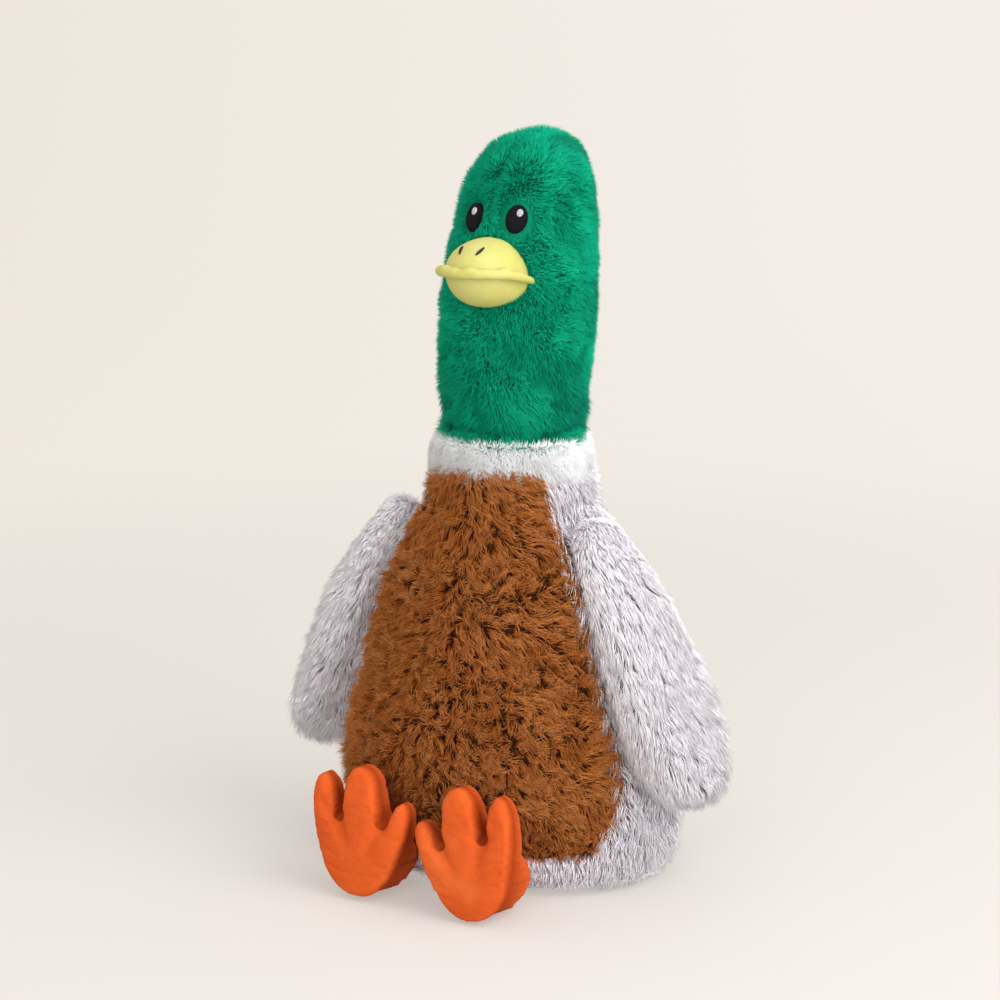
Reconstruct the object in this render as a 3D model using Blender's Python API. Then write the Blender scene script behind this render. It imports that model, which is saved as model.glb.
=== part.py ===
"""A seated plush mallard: sewn pile skins over stuffing, a weighted base, and limbs on sewn hinges.

The toy sits on the plane z = 0 with the middle of its base at the origin. It faces -Y, and its own
left side is +X. Lengths are metres and angles are degrees.
"""

import math

import bmesh
import bpy
import numpy as np
from mathutils import Vector

# Cloth and the clearances between sewn pieces
CLOTH = 0.0018
THIN_CLOTH = 0.0013
GAP = 0.0004
SEAM_GAP = 0.0004
STUFFING_GAP = 0.0011

# Body: (height, half width, half depth), from the middle of the base up to the neck
BODY_OUTLINE = [
    (0.000, 0.000, 0.000),
    (0.000, 0.034, 0.028),
    (0.000, 0.053, 0.043),
    (0.0035, 0.0655, 0.052),
    (0.014, 0.0715, 0.0565),
    (0.038, 0.0735, 0.0585),
    (0.066, 0.0710, 0.0570),
    (0.094, 0.0640, 0.0520),
    (0.120, 0.0555, 0.0470),
    (0.143, 0.0448, 0.0410),
    (0.161, 0.0360, 0.0355),
    (0.1765, 0.0300, 0.0308),
    (0.179, 0.000, 0.000),
]
BODY_TOP_ROW = 11
BASE_SEAM_ROW = 3.55
BELLY_HALF_ANGLE_TOP = 50.0
BELLY_HALF_ANGLE_LOW = 68.0

# Pouch of pellets that weights the base
POUCH_RADII = (0.054, 0.043, 0.017)
POUCH_MIDDLE = 0.006

# Neck: ball, bowl and collar turn about one point
NECK_PIVOT = Vector((0.0, 0.002, 0.188))
BALL_RADIUS = 0.0287
BOWL_INNER = 0.0298
COLLAR_INNER = 0.0315
COLLAR_OUTER = 0.0332
CUP_RADIUS = 0.0342
COLLAR_LOW_ANGLE = -34.0
COLLAR_TOP_ANGLE = 6.0

# Head: (height, middle in Y, half width) above the ball
HEAD_OUTLINE = [
    (0.2040, 0.0020, 0.0287),
    (0.2160, 0.0025, 0.0296),
    (0.2400, 0.0050, 0.0302),
    (0.2580, 0.0085, 0.0300),
    (0.2760, 0.0120, 0.0289),
    (0.2900, 0.0150, 0.0268),
    (0.3020, 0.0185, 0.0232),
    (0.3110, 0.0225, 0.0175),
    (0.3170, 0.0258, 0.0100),
    (0.3195, 0.0275, 0.0000),
]
BALL_ANGLES = [-90.0, -70.0, -50.0, -30.0, -10.0, 8.0, 18.0]
HEAD_SKIN_START = 2.0

# Beak: two cushions of velour with a rolled lip between them
BEAK_MIDDLE = Vector((0.0, -0.0185, 0.2636))
BEAK_HALF_WIDTH = 0.0175
BEAK_REACH = 0.0218
BEAK_RISE = 0.0130
BEAK_DROP = 0.0160
MOUTH_DROOP = 0.0040
LIP_RADIUS = 0.0022
LIP_OUT = 0.0020
LIP_STEPS = 30
LIP_SIDES = 6
NOSTRIL_SIDE_ANGLE = 20.0
NOSTRIL_RISE_ANGLE = 40.0
NOSTRIL_HALF = (0.0006, 0.0029)

# Eyes
EYE_SIDE_ANGLE = 20.5
EYE_HEIGHT = 0.2838
EYE_HALF = (0.0053, 0.0068)
EYE_PROUD = 0.0022
GLINT_HALF = (0.0017, 0.0020)
GLINT_SHIFT = (0.0019, 0.0022)

# Wings: outline in the wing's own sheet, (half width, distance below the shoulder)
WING_OUTLINE = [
    (0.000, 0.000),
    (0.0075, 0.0025),
    (0.0120, 0.0130),
    (0.0150, 0.0330),
    (0.0172, 0.0580),
    (0.0187, 0.0800),
    (0.0184, 0.0980),
    (0.0150, 0.1115),
    (0.0085, 0.1185),
    (0.000, 0.1200),
]
WING_MIDDLE = 0.075
WING_LENGTH = 0.120
WING_HALF_DEPTH = 0.0086
WING_YAW = 24.0
WING_STAND_OFF = 0.0450
WING_BEHIND = 0.0080
WING_TOP = 0.1570
WING_SWEEP = 10.0
# How far each wing leans out from upright at its shoulder and at its tip
LEFT_WING_LEANS = (29.0, 14.0)
RIGHT_WING_LEANS = (33.0, 12.0)

# Legs and feet
LEFT_HIP = Vector((0.0335, -0.0540, 0.0108))
RIGHT_HIP = Vector((-0.0262, -0.0566, 0.0108))
ANKLE_LINE = -0.0735
ANKLE_HEIGHT = 0.0120
HIP_RADII = (0.0128, 0.0096)
ANKLE_RADII = (0.0105, 0.0060)
SOCKET_GAP = 0.0012
FOOT_LINE = -0.0782
FOOT_LIFT = 0.0004
HEEL_LIFT = 0.0008
FOOT_HALF_DEPTH = 0.0112
FOOT_MIDDLE = 0.0230
LEFT_FOOT_ROLL = 15.0
RIGHT_FOOT_ROLL = 2.0
FOOT_LEAN = 4.0
# Foot outline as (across, up): across is towards the toy's own outer side
FOOT_OUTLINE = [
    (0.0000, 0.0000),
    (0.0085, 0.0022),
    (0.0150, 0.0085),
    (0.0195, 0.0180),
    (0.0232, 0.0290),
    (0.0250, 0.0400),
    (0.0242, 0.0475),
    (0.0195, 0.0515),
    (0.0150, 0.0490),
    (0.0115, 0.0405),
    (0.0092, 0.0500),
    (0.0048, 0.0560),
    (-0.0012, 0.0562),
    (-0.0065, 0.0510),
    (-0.0100, 0.0395),
    (-0.0140, 0.0440),
    (-0.0190, 0.0455),
    (-0.0228, 0.0415),
    (-0.0228, 0.0330),
    (-0.0198, 0.0210),
    (-0.0150, 0.0095),
    (-0.0085, 0.0022),
]

# Tail
TAIL_ROOT = Vector((0.0, 0.0590, 0.0300))
TAIL_RISE = 32.0
TAIL_OUTLINE = [
    (0.000, -0.006),
    (0.0150, -0.004),
    (0.0175, 0.006),
    (0.0130, 0.018),
    (0.0060, 0.026),
    (0.000, 0.0285),
]
TAIL_MIDDLE = 0.008
TAIL_HALF_DEPTH = 0.0072

# Colours of the cloths: colour, roughness
GREEN_PILE = ((0.02, 0.33, 0.16), 0.85)
WHITE_PILE = ((0.84, 0.85, 0.87), 0.85)
BROWN_PILE = ((0.27, 0.11, 0.035), 0.9)
GREY_PILE = ((0.60, 0.57, 0.64), 0.85)
YELLOW_VELOUR = ((0.90, 0.80, 0.28), 0.8)
ORANGE_VELOUR = ((0.88, 0.17, 0.03), 0.8)
BLACK_THREAD = ((0.01, 0.01, 0.012), 0.55)
PALE_THREAD = ((0.75, 0.76, 0.80), 0.5)
FIBRE = ((0.85, 0.85, 0.83), 0.95)
PELLET_CLOTH = ((0.70, 0.66, 0.55), 0.9)


def clear_scene():
    for thing in list(bpy.data.objects):
        bpy.data.objects.remove(thing, do_unlink=True)


def cloth(name, look):
    """A Principled material with one colour and roughness."""
    found = bpy.data.materials.get(name)
    if found:
        return found
    colour, roughness = look
    material = bpy.data.materials.new(name)
    material.use_nodes = True
    shader = material.node_tree.nodes["Principled BSDF"]
    shader.inputs["Base Color"].default_value = (*colour, 1.0)
    shader.inputs["Roughness"].default_value = roughness
    shader.inputs["Metallic"].default_value = 0.0
    return material


def add_node(name, points, faces, material):
    """One closed mesh as a named object, smooth shaded, with its faces pointing out."""
    mesh = bpy.data.meshes.new(name)
    mesh.from_pydata([tuple(p) for p in points], [], faces)
    work = bmesh.new()
    work.from_mesh(mesh)
    bmesh.ops.recalc_face_normals(work, faces=work.faces)
    bmesh.ops.triangulate(work, faces=work.faces)
    work.to_mesh(mesh)
    work.free()
    mesh.shade_smooth()
    mesh.set_sharp_from_angle(angle=math.radians(50))
    mesh.materials.append(material)
    made = bpy.data.objects.new(name, mesh)
    bpy.context.scene.collection.objects.link(made)
    return made


def cutter(name, points, faces, material):
    """A closed mesh that only cuts others."""
    made = add_node(name, points, faces, material)
    made.hide_render = True
    made.display_type = "WIRE"
    return made


def cut(piece, *tools):
    """Takes the tools' volumes away from a piece."""
    for tool in tools:
        boolean = piece.modifiers.new("cut by " + tool.name, "BOOLEAN")
        boolean.operation = "DIFFERENCE"
        boolean.solver = "EXACT"
        boolean.object = tool


def along(table, place):
    """A smooth curve through the rows of a table, read at a row number that may be a fraction."""
    rows = np.array(table, float)
    last = len(rows) - 1
    low = min(int(place), last - 1)
    share = place - low
    before = rows[max(low - 1, 0)]
    a, b = rows[low], rows[low + 1]
    after = rows[min(low + 2, last)]
    slope_a = (b - before) / 2
    slope_b = (after - a) / 2
    s2, s3 = share * share, share**3
    return (
        a * (2 * s3 - 3 * s2 + 1)
        + slope_a * (s3 - 2 * s2 + share)
        + b * (3 * s2 - 2 * s3)
        + slope_b * (s3 - s2)
    )


def body_point(angle, row):
    """A point of the body's cloth: angle from +X towards +Y, row down the body outline's rows."""
    height, wide, deep = along(BODY_OUTLINE, row)
    a = math.radians(angle)
    lean = NECK_PIVOT.y * min(1.0, max(0.0, height / NECK_PIVOT.z)) ** 2
    return Vector((wide * math.cos(a), deep * math.sin(a) + lean, max(height, 0.0)))


def head_rows():
    """The ball's rings and then the head's, as (height, middle in Y, half width)."""
    rows = []
    for angle in BALL_ANGLES:
        a = math.radians(angle)
        rows.append(
            (NECK_PIVOT.z + BALL_RADIUS * math.sin(a), NECK_PIVOT.y, BALL_RADIUS * math.cos(a))
        )
    return rows + HEAD_OUTLINE


HEAD_ROWS = head_rows()
HEAD_LAST = len(HEAD_ROWS) - 1


def head_point(angle, row):
    """A point of the head's cloth, with the same angle as the body's."""
    height, middle, wide = along(HEAD_ROWS, row)
    wide = max(wide, 0.0)
    a = math.radians(angle)
    return Vector((wide * math.cos(a), middle + wide * math.sin(a), height))


def head_row_at(height):
    """The row number at which the head has a given height."""
    low, high = 0.0, float(HEAD_LAST)
    for _ in range(40):
        middle = (low + high) / 2
        if along(HEAD_ROWS, middle)[0] < height:
            low = middle
        else:
            high = middle
    return (low + high) / 2


def beak_point(angle, rise):
    """A point of the beak's cushions: angle round it, rise from -90 below to 90 above."""
    a, r = math.radians(angle), math.radians(rise)
    tall = BEAK_RISE if rise > 0 else BEAK_DROP
    forward = BEAK_REACH * math.sin(a) * math.cos(r)
    return BEAK_MIDDLE + Vector(
        (
            BEAK_HALF_WIDTH * math.cos(a) * math.cos(r),
            forward,
            tall * math.sin(r) - mouth_droop(forward) * math.cos(r) ** 2,
        )
    )


def mouth_droop(forward):
    """How far the mouth's line sinks below its front, at a place measured back from the beak's middle."""
    return MOUTH_DROOP * ((forward + BEAK_REACH) / BEAK_REACH) ** 2


def out_from(surface, angle, place, distance, pole=None):
    """A point at a distance outside a surface, along its normal. A pole's normal is given."""
    point = surface(angle, place)
    if pole is not None:
        return point + Vector(pole) * distance
    step = 0.02
    across = surface(angle + 0.5, place) - surface(angle - 0.5, place)
    up = surface(angle, place + step) - surface(angle, place - step)
    normal = across.cross(up)
    return point + normal.normalized() * distance


def skin(
    name, surface, spans, rows, columns, material, thick=CLOTH, low_pole=None, top_pole=None, lift=0.0
):
    """A panel of cloth between an outer and an inner face.

    spans gives the first and last angle at a row; a full turn closes on itself. A pole is where
    a row shrinks to one point, and is given as the outward direction there.
    """
    points, faces = [], []

    def ring(row, distance, pole):
        start, end = spans(row)
        if pole is not None:
            points.append(out_from(surface, 0.0, row, distance, pole))
            return [len(points) - 1] * (columns + 1)
        turn = abs(end - start) >= 359.9
        made = []
        for i in range(columns if turn else columns + 1):
            angle = start + (end - start) * i / columns
            points.append(out_from(surface, angle, row, distance))
            made.append(len(points) - 1)
        return made + ([made[0]] if turn else [])

    def poles(i):
        if i == 0 and low_pole is not None:
            return low_pole
        if i == len(rows) - 1 and top_pole is not None:
            return top_pole
        return None

    outer = [ring(row, lift, poles(i)) for i, row in enumerate(rows)]
    inner = [ring(row, lift - thick, poles(i)) for i, row in enumerate(rows)]
    turn = abs(spans(rows[len(rows) // 2])[1] - spans(rows[len(rows) // 2])[0]) >= 359.9

    def face(*corners):
        kept = [c for i, c in enumerate(corners) if c not in corners[:i]]
        if len(kept) > 2:
            faces.append(kept)

    for i in range(len(rows) - 1):
        for j in range(columns):
            face(outer[i][j], outer[i][j + 1], outer[i + 1][j + 1], outer[i + 1][j])
            face(inner[i][j], inner[i + 1][j], inner[i + 1][j + 1], inner[i][j + 1])
        if not turn:
            face(outer[i][0], outer[i + 1][0], inner[i + 1][0], inner[i][0])
            face(outer[i][-1], inner[i][-1], inner[i + 1][-1], outer[i + 1][-1])
    for i, pole in ((0, low_pole), (len(rows) - 1, top_pole)):
        if pole is None:
            for j in range(columns):
                face(outer[i][j], inner[i][j], inner[i][j + 1], outer[i][j + 1])
    return add_node(name, points, faces, material)


def form(surface, rows, columns, distance, low_pole=(0, 0, -1), top_pole=(0, 0, 1)):
    """Points and faces of a closed form at a distance outside a surface, with a pole at each end."""
    points, faces, rings = [], [], []
    for i, row in enumerate(rows):
        pole = low_pole if i == 0 else top_pole if i == len(rows) - 1 else None
        if pole is not None:
            points.append(out_from(surface, 0.0, row, distance, pole))
            rings.append([len(points) - 1] * columns)
            continue
        ring = []
        for j in range(columns):
            points.append(out_from(surface, 360.0 * j / columns, row, distance))
            ring.append(len(points) - 1)
        rings.append(ring)
    for low, high in zip(rings, rings[1:]):
        for j in range(columns):
            k = (j + 1) % columns
            corners = [low[j], low[k], high[k], high[j]]
            kept = [c for i, c in enumerate(corners) if c not in corners[:i]]
            faces.append(kept)
    return points, faces


def ellipsoid(middle, radii, columns=16, rows=8):
    """Points and faces of an ellipsoid."""
    points, faces = [], []

    def surface(angle, rise):
        a, r = math.radians(angle), math.radians(rise)
        return middle + Vector(
            (
                radii[0] * math.cos(a) * math.cos(r),
                radii[1] * math.sin(a) * math.cos(r),
                radii[2] * math.sin(r),
            )
        )

    steps = [-90 + 180.0 * i / rows for i in range(rows + 1)]
    points, faces = form(surface, steps, columns, 0.0)
    return points, faces


def lathe(name, profile, middle, columns, material):
    """Turns a closed profile of (radius, height) round Z. Points with no radius are poles."""
    points, rings, faces = [], [], []
    for radius, height in profile:
        if radius < 1e-7:
            points.append(middle + Vector((0, 0, height)))
            rings.append([len(points) - 1] * columns)
            continue
        ring = []
        for j in range(columns):
            a = 2 * math.pi * j / columns
            points.append(middle + Vector((radius * math.cos(a), radius * math.sin(a), height)))
            ring.append(len(points) - 1)
        rings.append(ring)
    for i, low in enumerate(rings):
        high = rings[(i + 1) % len(rings)]
        if len(set(low)) == 1 and len(set(high)) == 1:
            continue
        for j in range(columns):
            k = (j + 1) % columns
            corners = [low[j], low[k], high[k], high[j]]
            kept = [c for n, c in enumerate(corners) if c not in corners[:n]]
            faces.append(kept)
    return add_node(name, points, faces, material)


def arc(radius, first, last, steps):
    """Points of a round profile about the neck's pivot, from one angle above level to another."""
    found = []
    for i in range(steps + 1):
        a = math.radians(first + (last - first) * i / steps)
        found.append((max(radius * math.cos(a), 0.0), radius * math.sin(a)))
    return found


def shrunk(outline, middle, distance):
    """An outline drawn in towards its middle by about a distance."""
    found = []
    for across, up in outline:
        reach = math.hypot(across - middle[0], up - middle[1])
        share = max(reach - distance, 0.0) / reach
        found.append(
            (middle[0] + (across - middle[0]) * share, middle[1] + (up - middle[1]) * share)
        )
    return found


PILLOW_RINGS = (1.0, 0.90, 0.66, 0.34)


def pillow_side(points, outline, middle, place, side, depth, start):
    """Rings of one puffed side of an outline, from its edge to its middle. place maps to the toy."""
    made = []
    for share in PILLOW_RINGS:
        ring = []
        swell = depth * (1 - share**2.2) ** 0.62
        for across, up in outline:
            u = middle[0] + (across - middle[0]) * share
            v = middle[1] + (up - middle[1]) * share
            points.append(place(u, side * (start + swell), v))
            ring.append(len(points) - 1)
        made.append(ring)
    points.append(place(middle[0], side * (start + depth), middle[1]))
    made.append([len(points) - 1] * len(outline))
    return made


def join_rings(rings, faces):
    for low, high in zip(rings, rings[1:]):
        count = len(low)
        for j in range(count):
            k = (j + 1) % count
            corners = [low[j], low[k], high[k], high[j]]
            kept = [c for n, c in enumerate(corners) if c not in corners[:n]]
            faces.append(kept)


def pillow_panel(name, outline, middle, place, side, depth, material, thick=THIN_CLOTH):
    """One cloth side of a stuffed outline: a thin shell that is open towards the stuffing."""
    points, faces = [], []
    start = SEAM_GAP / 2
    outer = pillow_side(points, outline, middle, place, side, depth, start)
    drawn_in = shrunk(outline, middle, thick)
    inner = pillow_side(points, drawn_in, middle, place, side, depth - thick, start)
    join_rings(outer, faces)
    join_rings(inner, faces)
    join_rings([outer[0], inner[0]], faces)
    return add_node(name, points, faces, material)


def pillow_core(name, outline, middle, place, depth, material, thick=THIN_CLOTH):
    """The stuffing inside two such panels."""
    points, faces = [], []
    drawn_in = shrunk(outline, middle, thick + GAP)
    deep = depth - thick - GAP
    front = pillow_side(points, drawn_in, middle, place, 1, deep, 0.0)
    back = pillow_side(points, drawn_in, middle, place, -1, deep, 0.0)
    join_rings(front, faces)
    join_rings(back, faces)
    join_rings([front[0], back[0]], faces)
    return add_node(name, points, faces, material)


def both_sides(outline):
    """A closed outline from its right half, given from top to tip."""
    left = [(-across, down) for across, down in reversed(outline[1:-1])]
    return list(outline) + left


def pad_on(name, surface, angle, row, half, low, high, material, shift=(0.0, 0.0), turn=0.0):
    """An oval pad that follows a surface, between two distances outside it. half and shift are lengths."""
    columns, shares = 12, (0.55, 1.0)
    here = surface(angle, row)
    per_degree = (surface(angle + 1, row) - here).length
    per_row = (surface(angle, row + 0.1) - here).length / 0.1
    tilt = math.radians(turn)

    def place(across, up, distance):
        u = across * math.cos(tilt) - up * math.sin(tilt) + shift[0]
        v = across * math.sin(tilt) + up * math.cos(tilt) + shift[1]
        return out_from(surface, angle + u / per_degree, row + v / per_row, distance)

    points, faces, sides = [], [], []
    for distance, edge in ((high, 0.9), (low, 1.0)):
        points.append(place(0.0, 0.0, distance))
        rings = [[len(points) - 1] * columns]
        for share in shares:
            ring = []
            for j in range(columns):
                a = 2 * math.pi * j / columns
                reach = share * (edge if share == 1.0 else 1.0)
                drop = (high - low) * 0.25 if share == 1.0 and distance == high else 0.0
                points.append(
                    place(half[0] * reach * math.cos(a), half[1] * reach * math.sin(a), distance - drop)
                )
                ring.append(len(points) - 1)
            rings.append(ring)
        join_rings(rings, faces)
        sides.append(rings[-1])
    join_rings(sides, faces)
    return add_node(name, points, faces, material)


def belly_half_angle(row):
    """Half the belly panel's angle, wider towards the base."""
    share = min(1.0, max(0.0, (row - BASE_SEAM_ROW) / (BODY_TOP_ROW - BASE_SEAM_ROW)))
    return BELLY_HALF_ANGLE_LOW + (BELLY_HALF_ANGLE_TOP - BELLY_HALF_ANGLE_LOW) * share


def seam_degrees(row):
    """Half of a seam gap as an angle at a row of the body."""
    wide = max(along(BODY_OUTLINE, row)[1], 0.01)
    return math.degrees(SEAM_GAP / 2 / wide)


def build_body():
    """The body's panels, stuffing and weight pouch, with a cup for the neck and sockets for the legs."""
    brown, grey = cloth("brown_pile", BROWN_PILE), cloth("grey_pile", GREY_PILE)
    fibre = cloth("stuffing_fibre", FIBRE)
    rows = list(np.linspace(BASE_SEAM_ROW + 0.02, BODY_TOP_ROW, 9))

    def belly(row):
        half = belly_half_angle(row) - seam_degrees(row)
        return (-90 - half, -90 + half)

    def left_back(row):
        return (-90 + belly_half_angle(row) + seam_degrees(row), 90 - seam_degrees(row))

    def right_back(row):
        return (90 + seam_degrees(row), 270 - belly_half_angle(row) - seam_degrees(row))

    panels = [
        skin("belly_panel", body_point, belly, rows, 10, brown),
        skin("left_back_panel", body_point, left_back, rows, 8, grey),
        skin("right_back_panel", body_point, right_back, rows, 8, grey),
    ]
    base_rows = [0.0, 2.0, 2.6, 3.1, BASE_SEAM_ROW - 0.02]
    base = skin(
        "base_panel", body_point, lambda row: (0, 360), base_rows, 24, grey, low_pole=(0, 0, -1)
    )
    fill_rows = [0.0, 2.0, 2.8, 3.6, 5, 6, 7, 8, 9, 10, 11, 12]
    points, faces = form(body_point, fill_rows, 20, -(CLOTH + STUFFING_GAP))
    stuffing = add_node("body_stuffing", points, faces, fibre)
    pouch_middle = Vector((0, 0, POUCH_MIDDLE))
    points, faces = ellipsoid(pouch_middle, POUCH_RADII)
    floor = CLOTH + STUFFING_GAP
    points = [Vector((p.x, p.y, max(p.z, floor))) for p in points]
    add_node("weight_pouch", points, faces, cloth("pellet_cloth", PELLET_CLOTH))
    bigger = tuple(r + 0.0008 for r in POUCH_RADII)
    pouch_room = cutter("pouch_room", *ellipsoid(pouch_middle, bigger), fibre)
    neck_room = cutter("neck_room", *ellipsoid(NECK_PIVOT, (CUP_RADIUS,) * 3, 24, 12), fibre)
    cut(stuffing, pouch_room, neck_room)
    for panel in panels:
        cut(panel, neck_room)
    for side, middle in (("left", LEFT_HIP), ("right", RIGHT_HIP)):
        radii = (HIP_RADII[0] + SOCKET_GAP, HIP_RADII[1] + SOCKET_GAP, HIP_RADII[1] + SOCKET_GAP)
        socket = cutter(side + "_hip_room", *ellipsoid(middle, radii), fibre)
        cut(panels[0], socket)
        cut(base, socket)
        cut(stuffing, socket)


def build_neck():
    """The collar band and the ring of stuffing under it, both round about the neck's pivot."""
    bowl = arc(BOWL_INNER, -90, -6, 6)
    bowl += arc(COLLAR_INNER - GAP, -6, COLLAR_LOW_ANGLE - 0.8, 2)
    bowl += arc(COLLAR_OUTER, COLLAR_LOW_ANGLE - 0.8, -90, 4)
    lathe("neck_stuffing", bowl, NECK_PIVOT, 20, cloth("stuffing_fibre", FIBRE))
    band = arc(COLLAR_OUTER, COLLAR_LOW_ANGLE, COLLAR_TOP_ANGLE, 3)
    band += arc(COLLAR_INNER, COLLAR_TOP_ANGLE, COLLAR_LOW_ANGLE, 3)
    lathe("collar_band", band, NECK_PIVOT, 28, cloth("white_pile", WHITE_PILE))


def build_head():
    """The head's two skins and its stuffing, the beak, the eyes and the nostril stitches."""
    green, fibre = cloth("green_pile", GREEN_PILE), cloth("stuffing_fibre", FIBRE)
    count = HEAD_LAST
    rows = [HEAD_SKIN_START, 3, 4, 5, 6] + [6 + i for i in range(1, count - 6)] + [count]

    def seam(row):
        return math.degrees(SEAM_GAP / 2 / max(along(HEAD_ROWS, row)[2], 0.006))

    skins = [
        skin(
            "head_skin_left",
            lambda a, r: head_point(a, r) + Vector((SEAM_GAP / 2, 0, 0)),
            lambda row: (-90, 90),
            rows,
            9,
            green,
            top_pole=(0, 0, 1),
        ),
        skin(
            "head_skin_right",
            lambda a, r: head_point(a, r) - Vector((SEAM_GAP / 2, 0, 0)),
            lambda row: (90, 270),
            rows,
            9,
            green,
            top_pole=(0, 0, 1),
        ),
    ]
    points, faces = form(head_point, list(range(count + 1)), 16, -(CLOTH + STUFFING_GAP))
    add_node("head_stuffing", points, faces, fibre)
    build_beak(skins)
    build_eyes()


def build_beak(skins):
    """Upper and lower cushions, their stuffing and the lip, all cut where the face begins."""
    yellow = cloth("yellow_velour", YELLOW_VELOUR)
    face_rows = [0, 2, 4, 6] + list(range(7, HEAD_LAST + 1))
    points, faces = form(head_point, face_rows, 40, 0.0005)
    face_room = cutter("face_room", points, faces, yellow)
    half_gap = SEAM_GAP / 2

    def upper(angle, rise):
        return beak_point(angle, max(rise, 0.001)) + Vector((0, 0, half_gap))

    def lower(angle, rise):
        return beak_point(angle, min(rise, -0.001)) - Vector((0, 0, half_gap))

    def turn(_):
        return (0, 360)

    top = skin(
        "beak_upper", upper, turn, [2, 20, 42, 66, 90], 20, yellow, THIN_CLOTH, top_pole=(0, 0, 1)
    )
    bottom = skin(
        "beak_lower", lower, turn, [-90, -66, -42, -20, -2], 20, yellow, THIN_CLOTH,
        low_pole=(0, 0, -1),
    )
    points, faces = form(
        beak_point, [-90, -55, -25, 0.0, 25, 55, 90], 16, -(THIN_CLOTH + GAP)
    )
    core = add_node("beak_stuffing", points, faces, cloth("stuffing_fibre", FIBRE))
    points, faces, rings = [], [], []
    wide, reach = BEAK_HALF_WIDTH + LIP_OUT, BEAK_REACH + LIP_OUT
    for i in range(LIP_STEPS):
        a = 2 * math.pi * i / LIP_STEPS
        out = Vector((math.cos(a), math.sin(a), 0))
        ring = []
        for j in range(LIP_SIDES):
            b = 2 * math.pi * j / LIP_SIDES
            forward = reach * math.sin(a)
            droop = mouth_droop(forward)
            middle = BEAK_MIDDLE + Vector((wide * math.cos(a), forward, -droop))
            points.append(
                middle + out * LIP_RADIUS * math.cos(b) + Vector((0, 0, LIP_RADIUS * math.sin(b)))
            )
            ring.append(len(points) - 1)
        rings.append(ring)
    join_rings(rings + [rings[0]], faces)
    lip = add_node("beak_lip", points, faces, yellow)
    cut(top, face_room)
    cut(bottom, face_room)
    cut(core, face_room)
    cut(lip, face_room)
    black = cloth("black_thread", BLACK_THREAD)
    for name, sign in (("nostril_left", 1), ("nostril_right", -1)):
        pad_on(
            name,
            beak_point_steps,
            -90 + sign * NOSTRIL_SIDE_ANGLE,
            NOSTRIL_RISE_ANGLE / 10,
            NOSTRIL_HALF,
            GAP,
            0.0012,
            black,
            turn=-sign * 28,
        )


def beak_point_steps(angle, place):
    """The upper cushion with its rise counted in steps of 10 degrees."""
    return beak_point(angle, place * 10) + Vector((0, 0, SEAM_GAP / 2))


def build_eyes():
    """Two padded eyes and the pale glint on each."""
    row = head_row_at(EYE_HEIGHT)
    black, pale = cloth("black_thread", BLACK_THREAD), cloth("pale_thread", PALE_THREAD)
    for side, sign in (("left", 1), ("right", -1)):
        angle = -90 + sign * EYE_SIDE_ANGLE
        pad_on("eye_" + side, head_point, angle, row, EYE_HALF, GAP, EYE_PROUD, black)
        pad_on(
            "eye_glint_" + side, head_point, angle, row, GLINT_HALF, EYE_PROUD + GAP,
            EYE_PROUD + 0.0010, pale, shift=GLINT_SHIFT,
        )


def wing_place(sign, leans):
    """Maps the wing's own (across, out, down) to the toy: a sheet that curves down from its shoulder."""
    yaw, start = math.radians(WING_YAW), math.radians(leans[0])
    curve = math.radians(leans[1] - leans[0]) / WING_LENGTH
    out = Vector((math.cos(yaw) * sign, -math.sin(yaw), 0))
    across = Vector((math.sin(yaw) * sign, math.cos(yaw), 0))
    shoulder = out * WING_STAND_OFF + across * WING_BEHIND + Vector((0, 0, WING_TOP))
    sweep = math.tan(math.radians(WING_SWEEP))

    def place(u, n, v):
        tilt = start + curve * v
        reach = (math.cos(start) - math.cos(tilt)) / curve
        drop = (math.sin(tilt) - math.sin(start)) / curve
        away = Vector((out.x * math.cos(tilt), out.y * math.cos(tilt), math.sin(tilt)))
        return shoulder + across * (u + v * sweep) + out * reach - Vector((0, 0, drop)) + away * n

    return place


def build_wings():
    grey, fibre = cloth("grey_pile", GREY_PILE), cloth("stuffing_fibre", FIBRE)
    outline = both_sides(WING_OUTLINE)
    middle = (0.0, WING_MIDDLE)
    for side, sign, leans in (("left", 1, LEFT_WING_LEANS), ("right", -1, RIGHT_WING_LEANS)):
        place = wing_place(sign, leans)
        depth = WING_HALF_DEPTH
        pillow_panel(side + "_wing_outer", outline, middle, place, 1, depth, grey)
        pillow_panel(side + "_wing_inner", outline, middle, place, -1, depth, grey)
        pillow_core(side + "_wing_stuffing", outline, middle, place, depth, fibre)


def foot_place(hip, sign, roll):
    """Maps the foot's own (across, front, up) to the toy, standing on its heel."""
    lean, turn = math.radians(FOOT_LEAN), math.radians(roll)

    def place(u, n, v):
        u, v = u * math.cos(turn) - v * math.sin(turn), u * math.sin(turn) + v * math.cos(turn)
        forward = n * math.cos(lean) - (v - ANKLE_HEIGHT) * math.sin(lean)
        up = v * math.cos(lean) + n * math.sin(lean) + HEEL_LIFT
        return Vector((hip.x + u * sign, FOOT_LINE - forward, max(up, FOOT_LIFT)))

    return place


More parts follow.
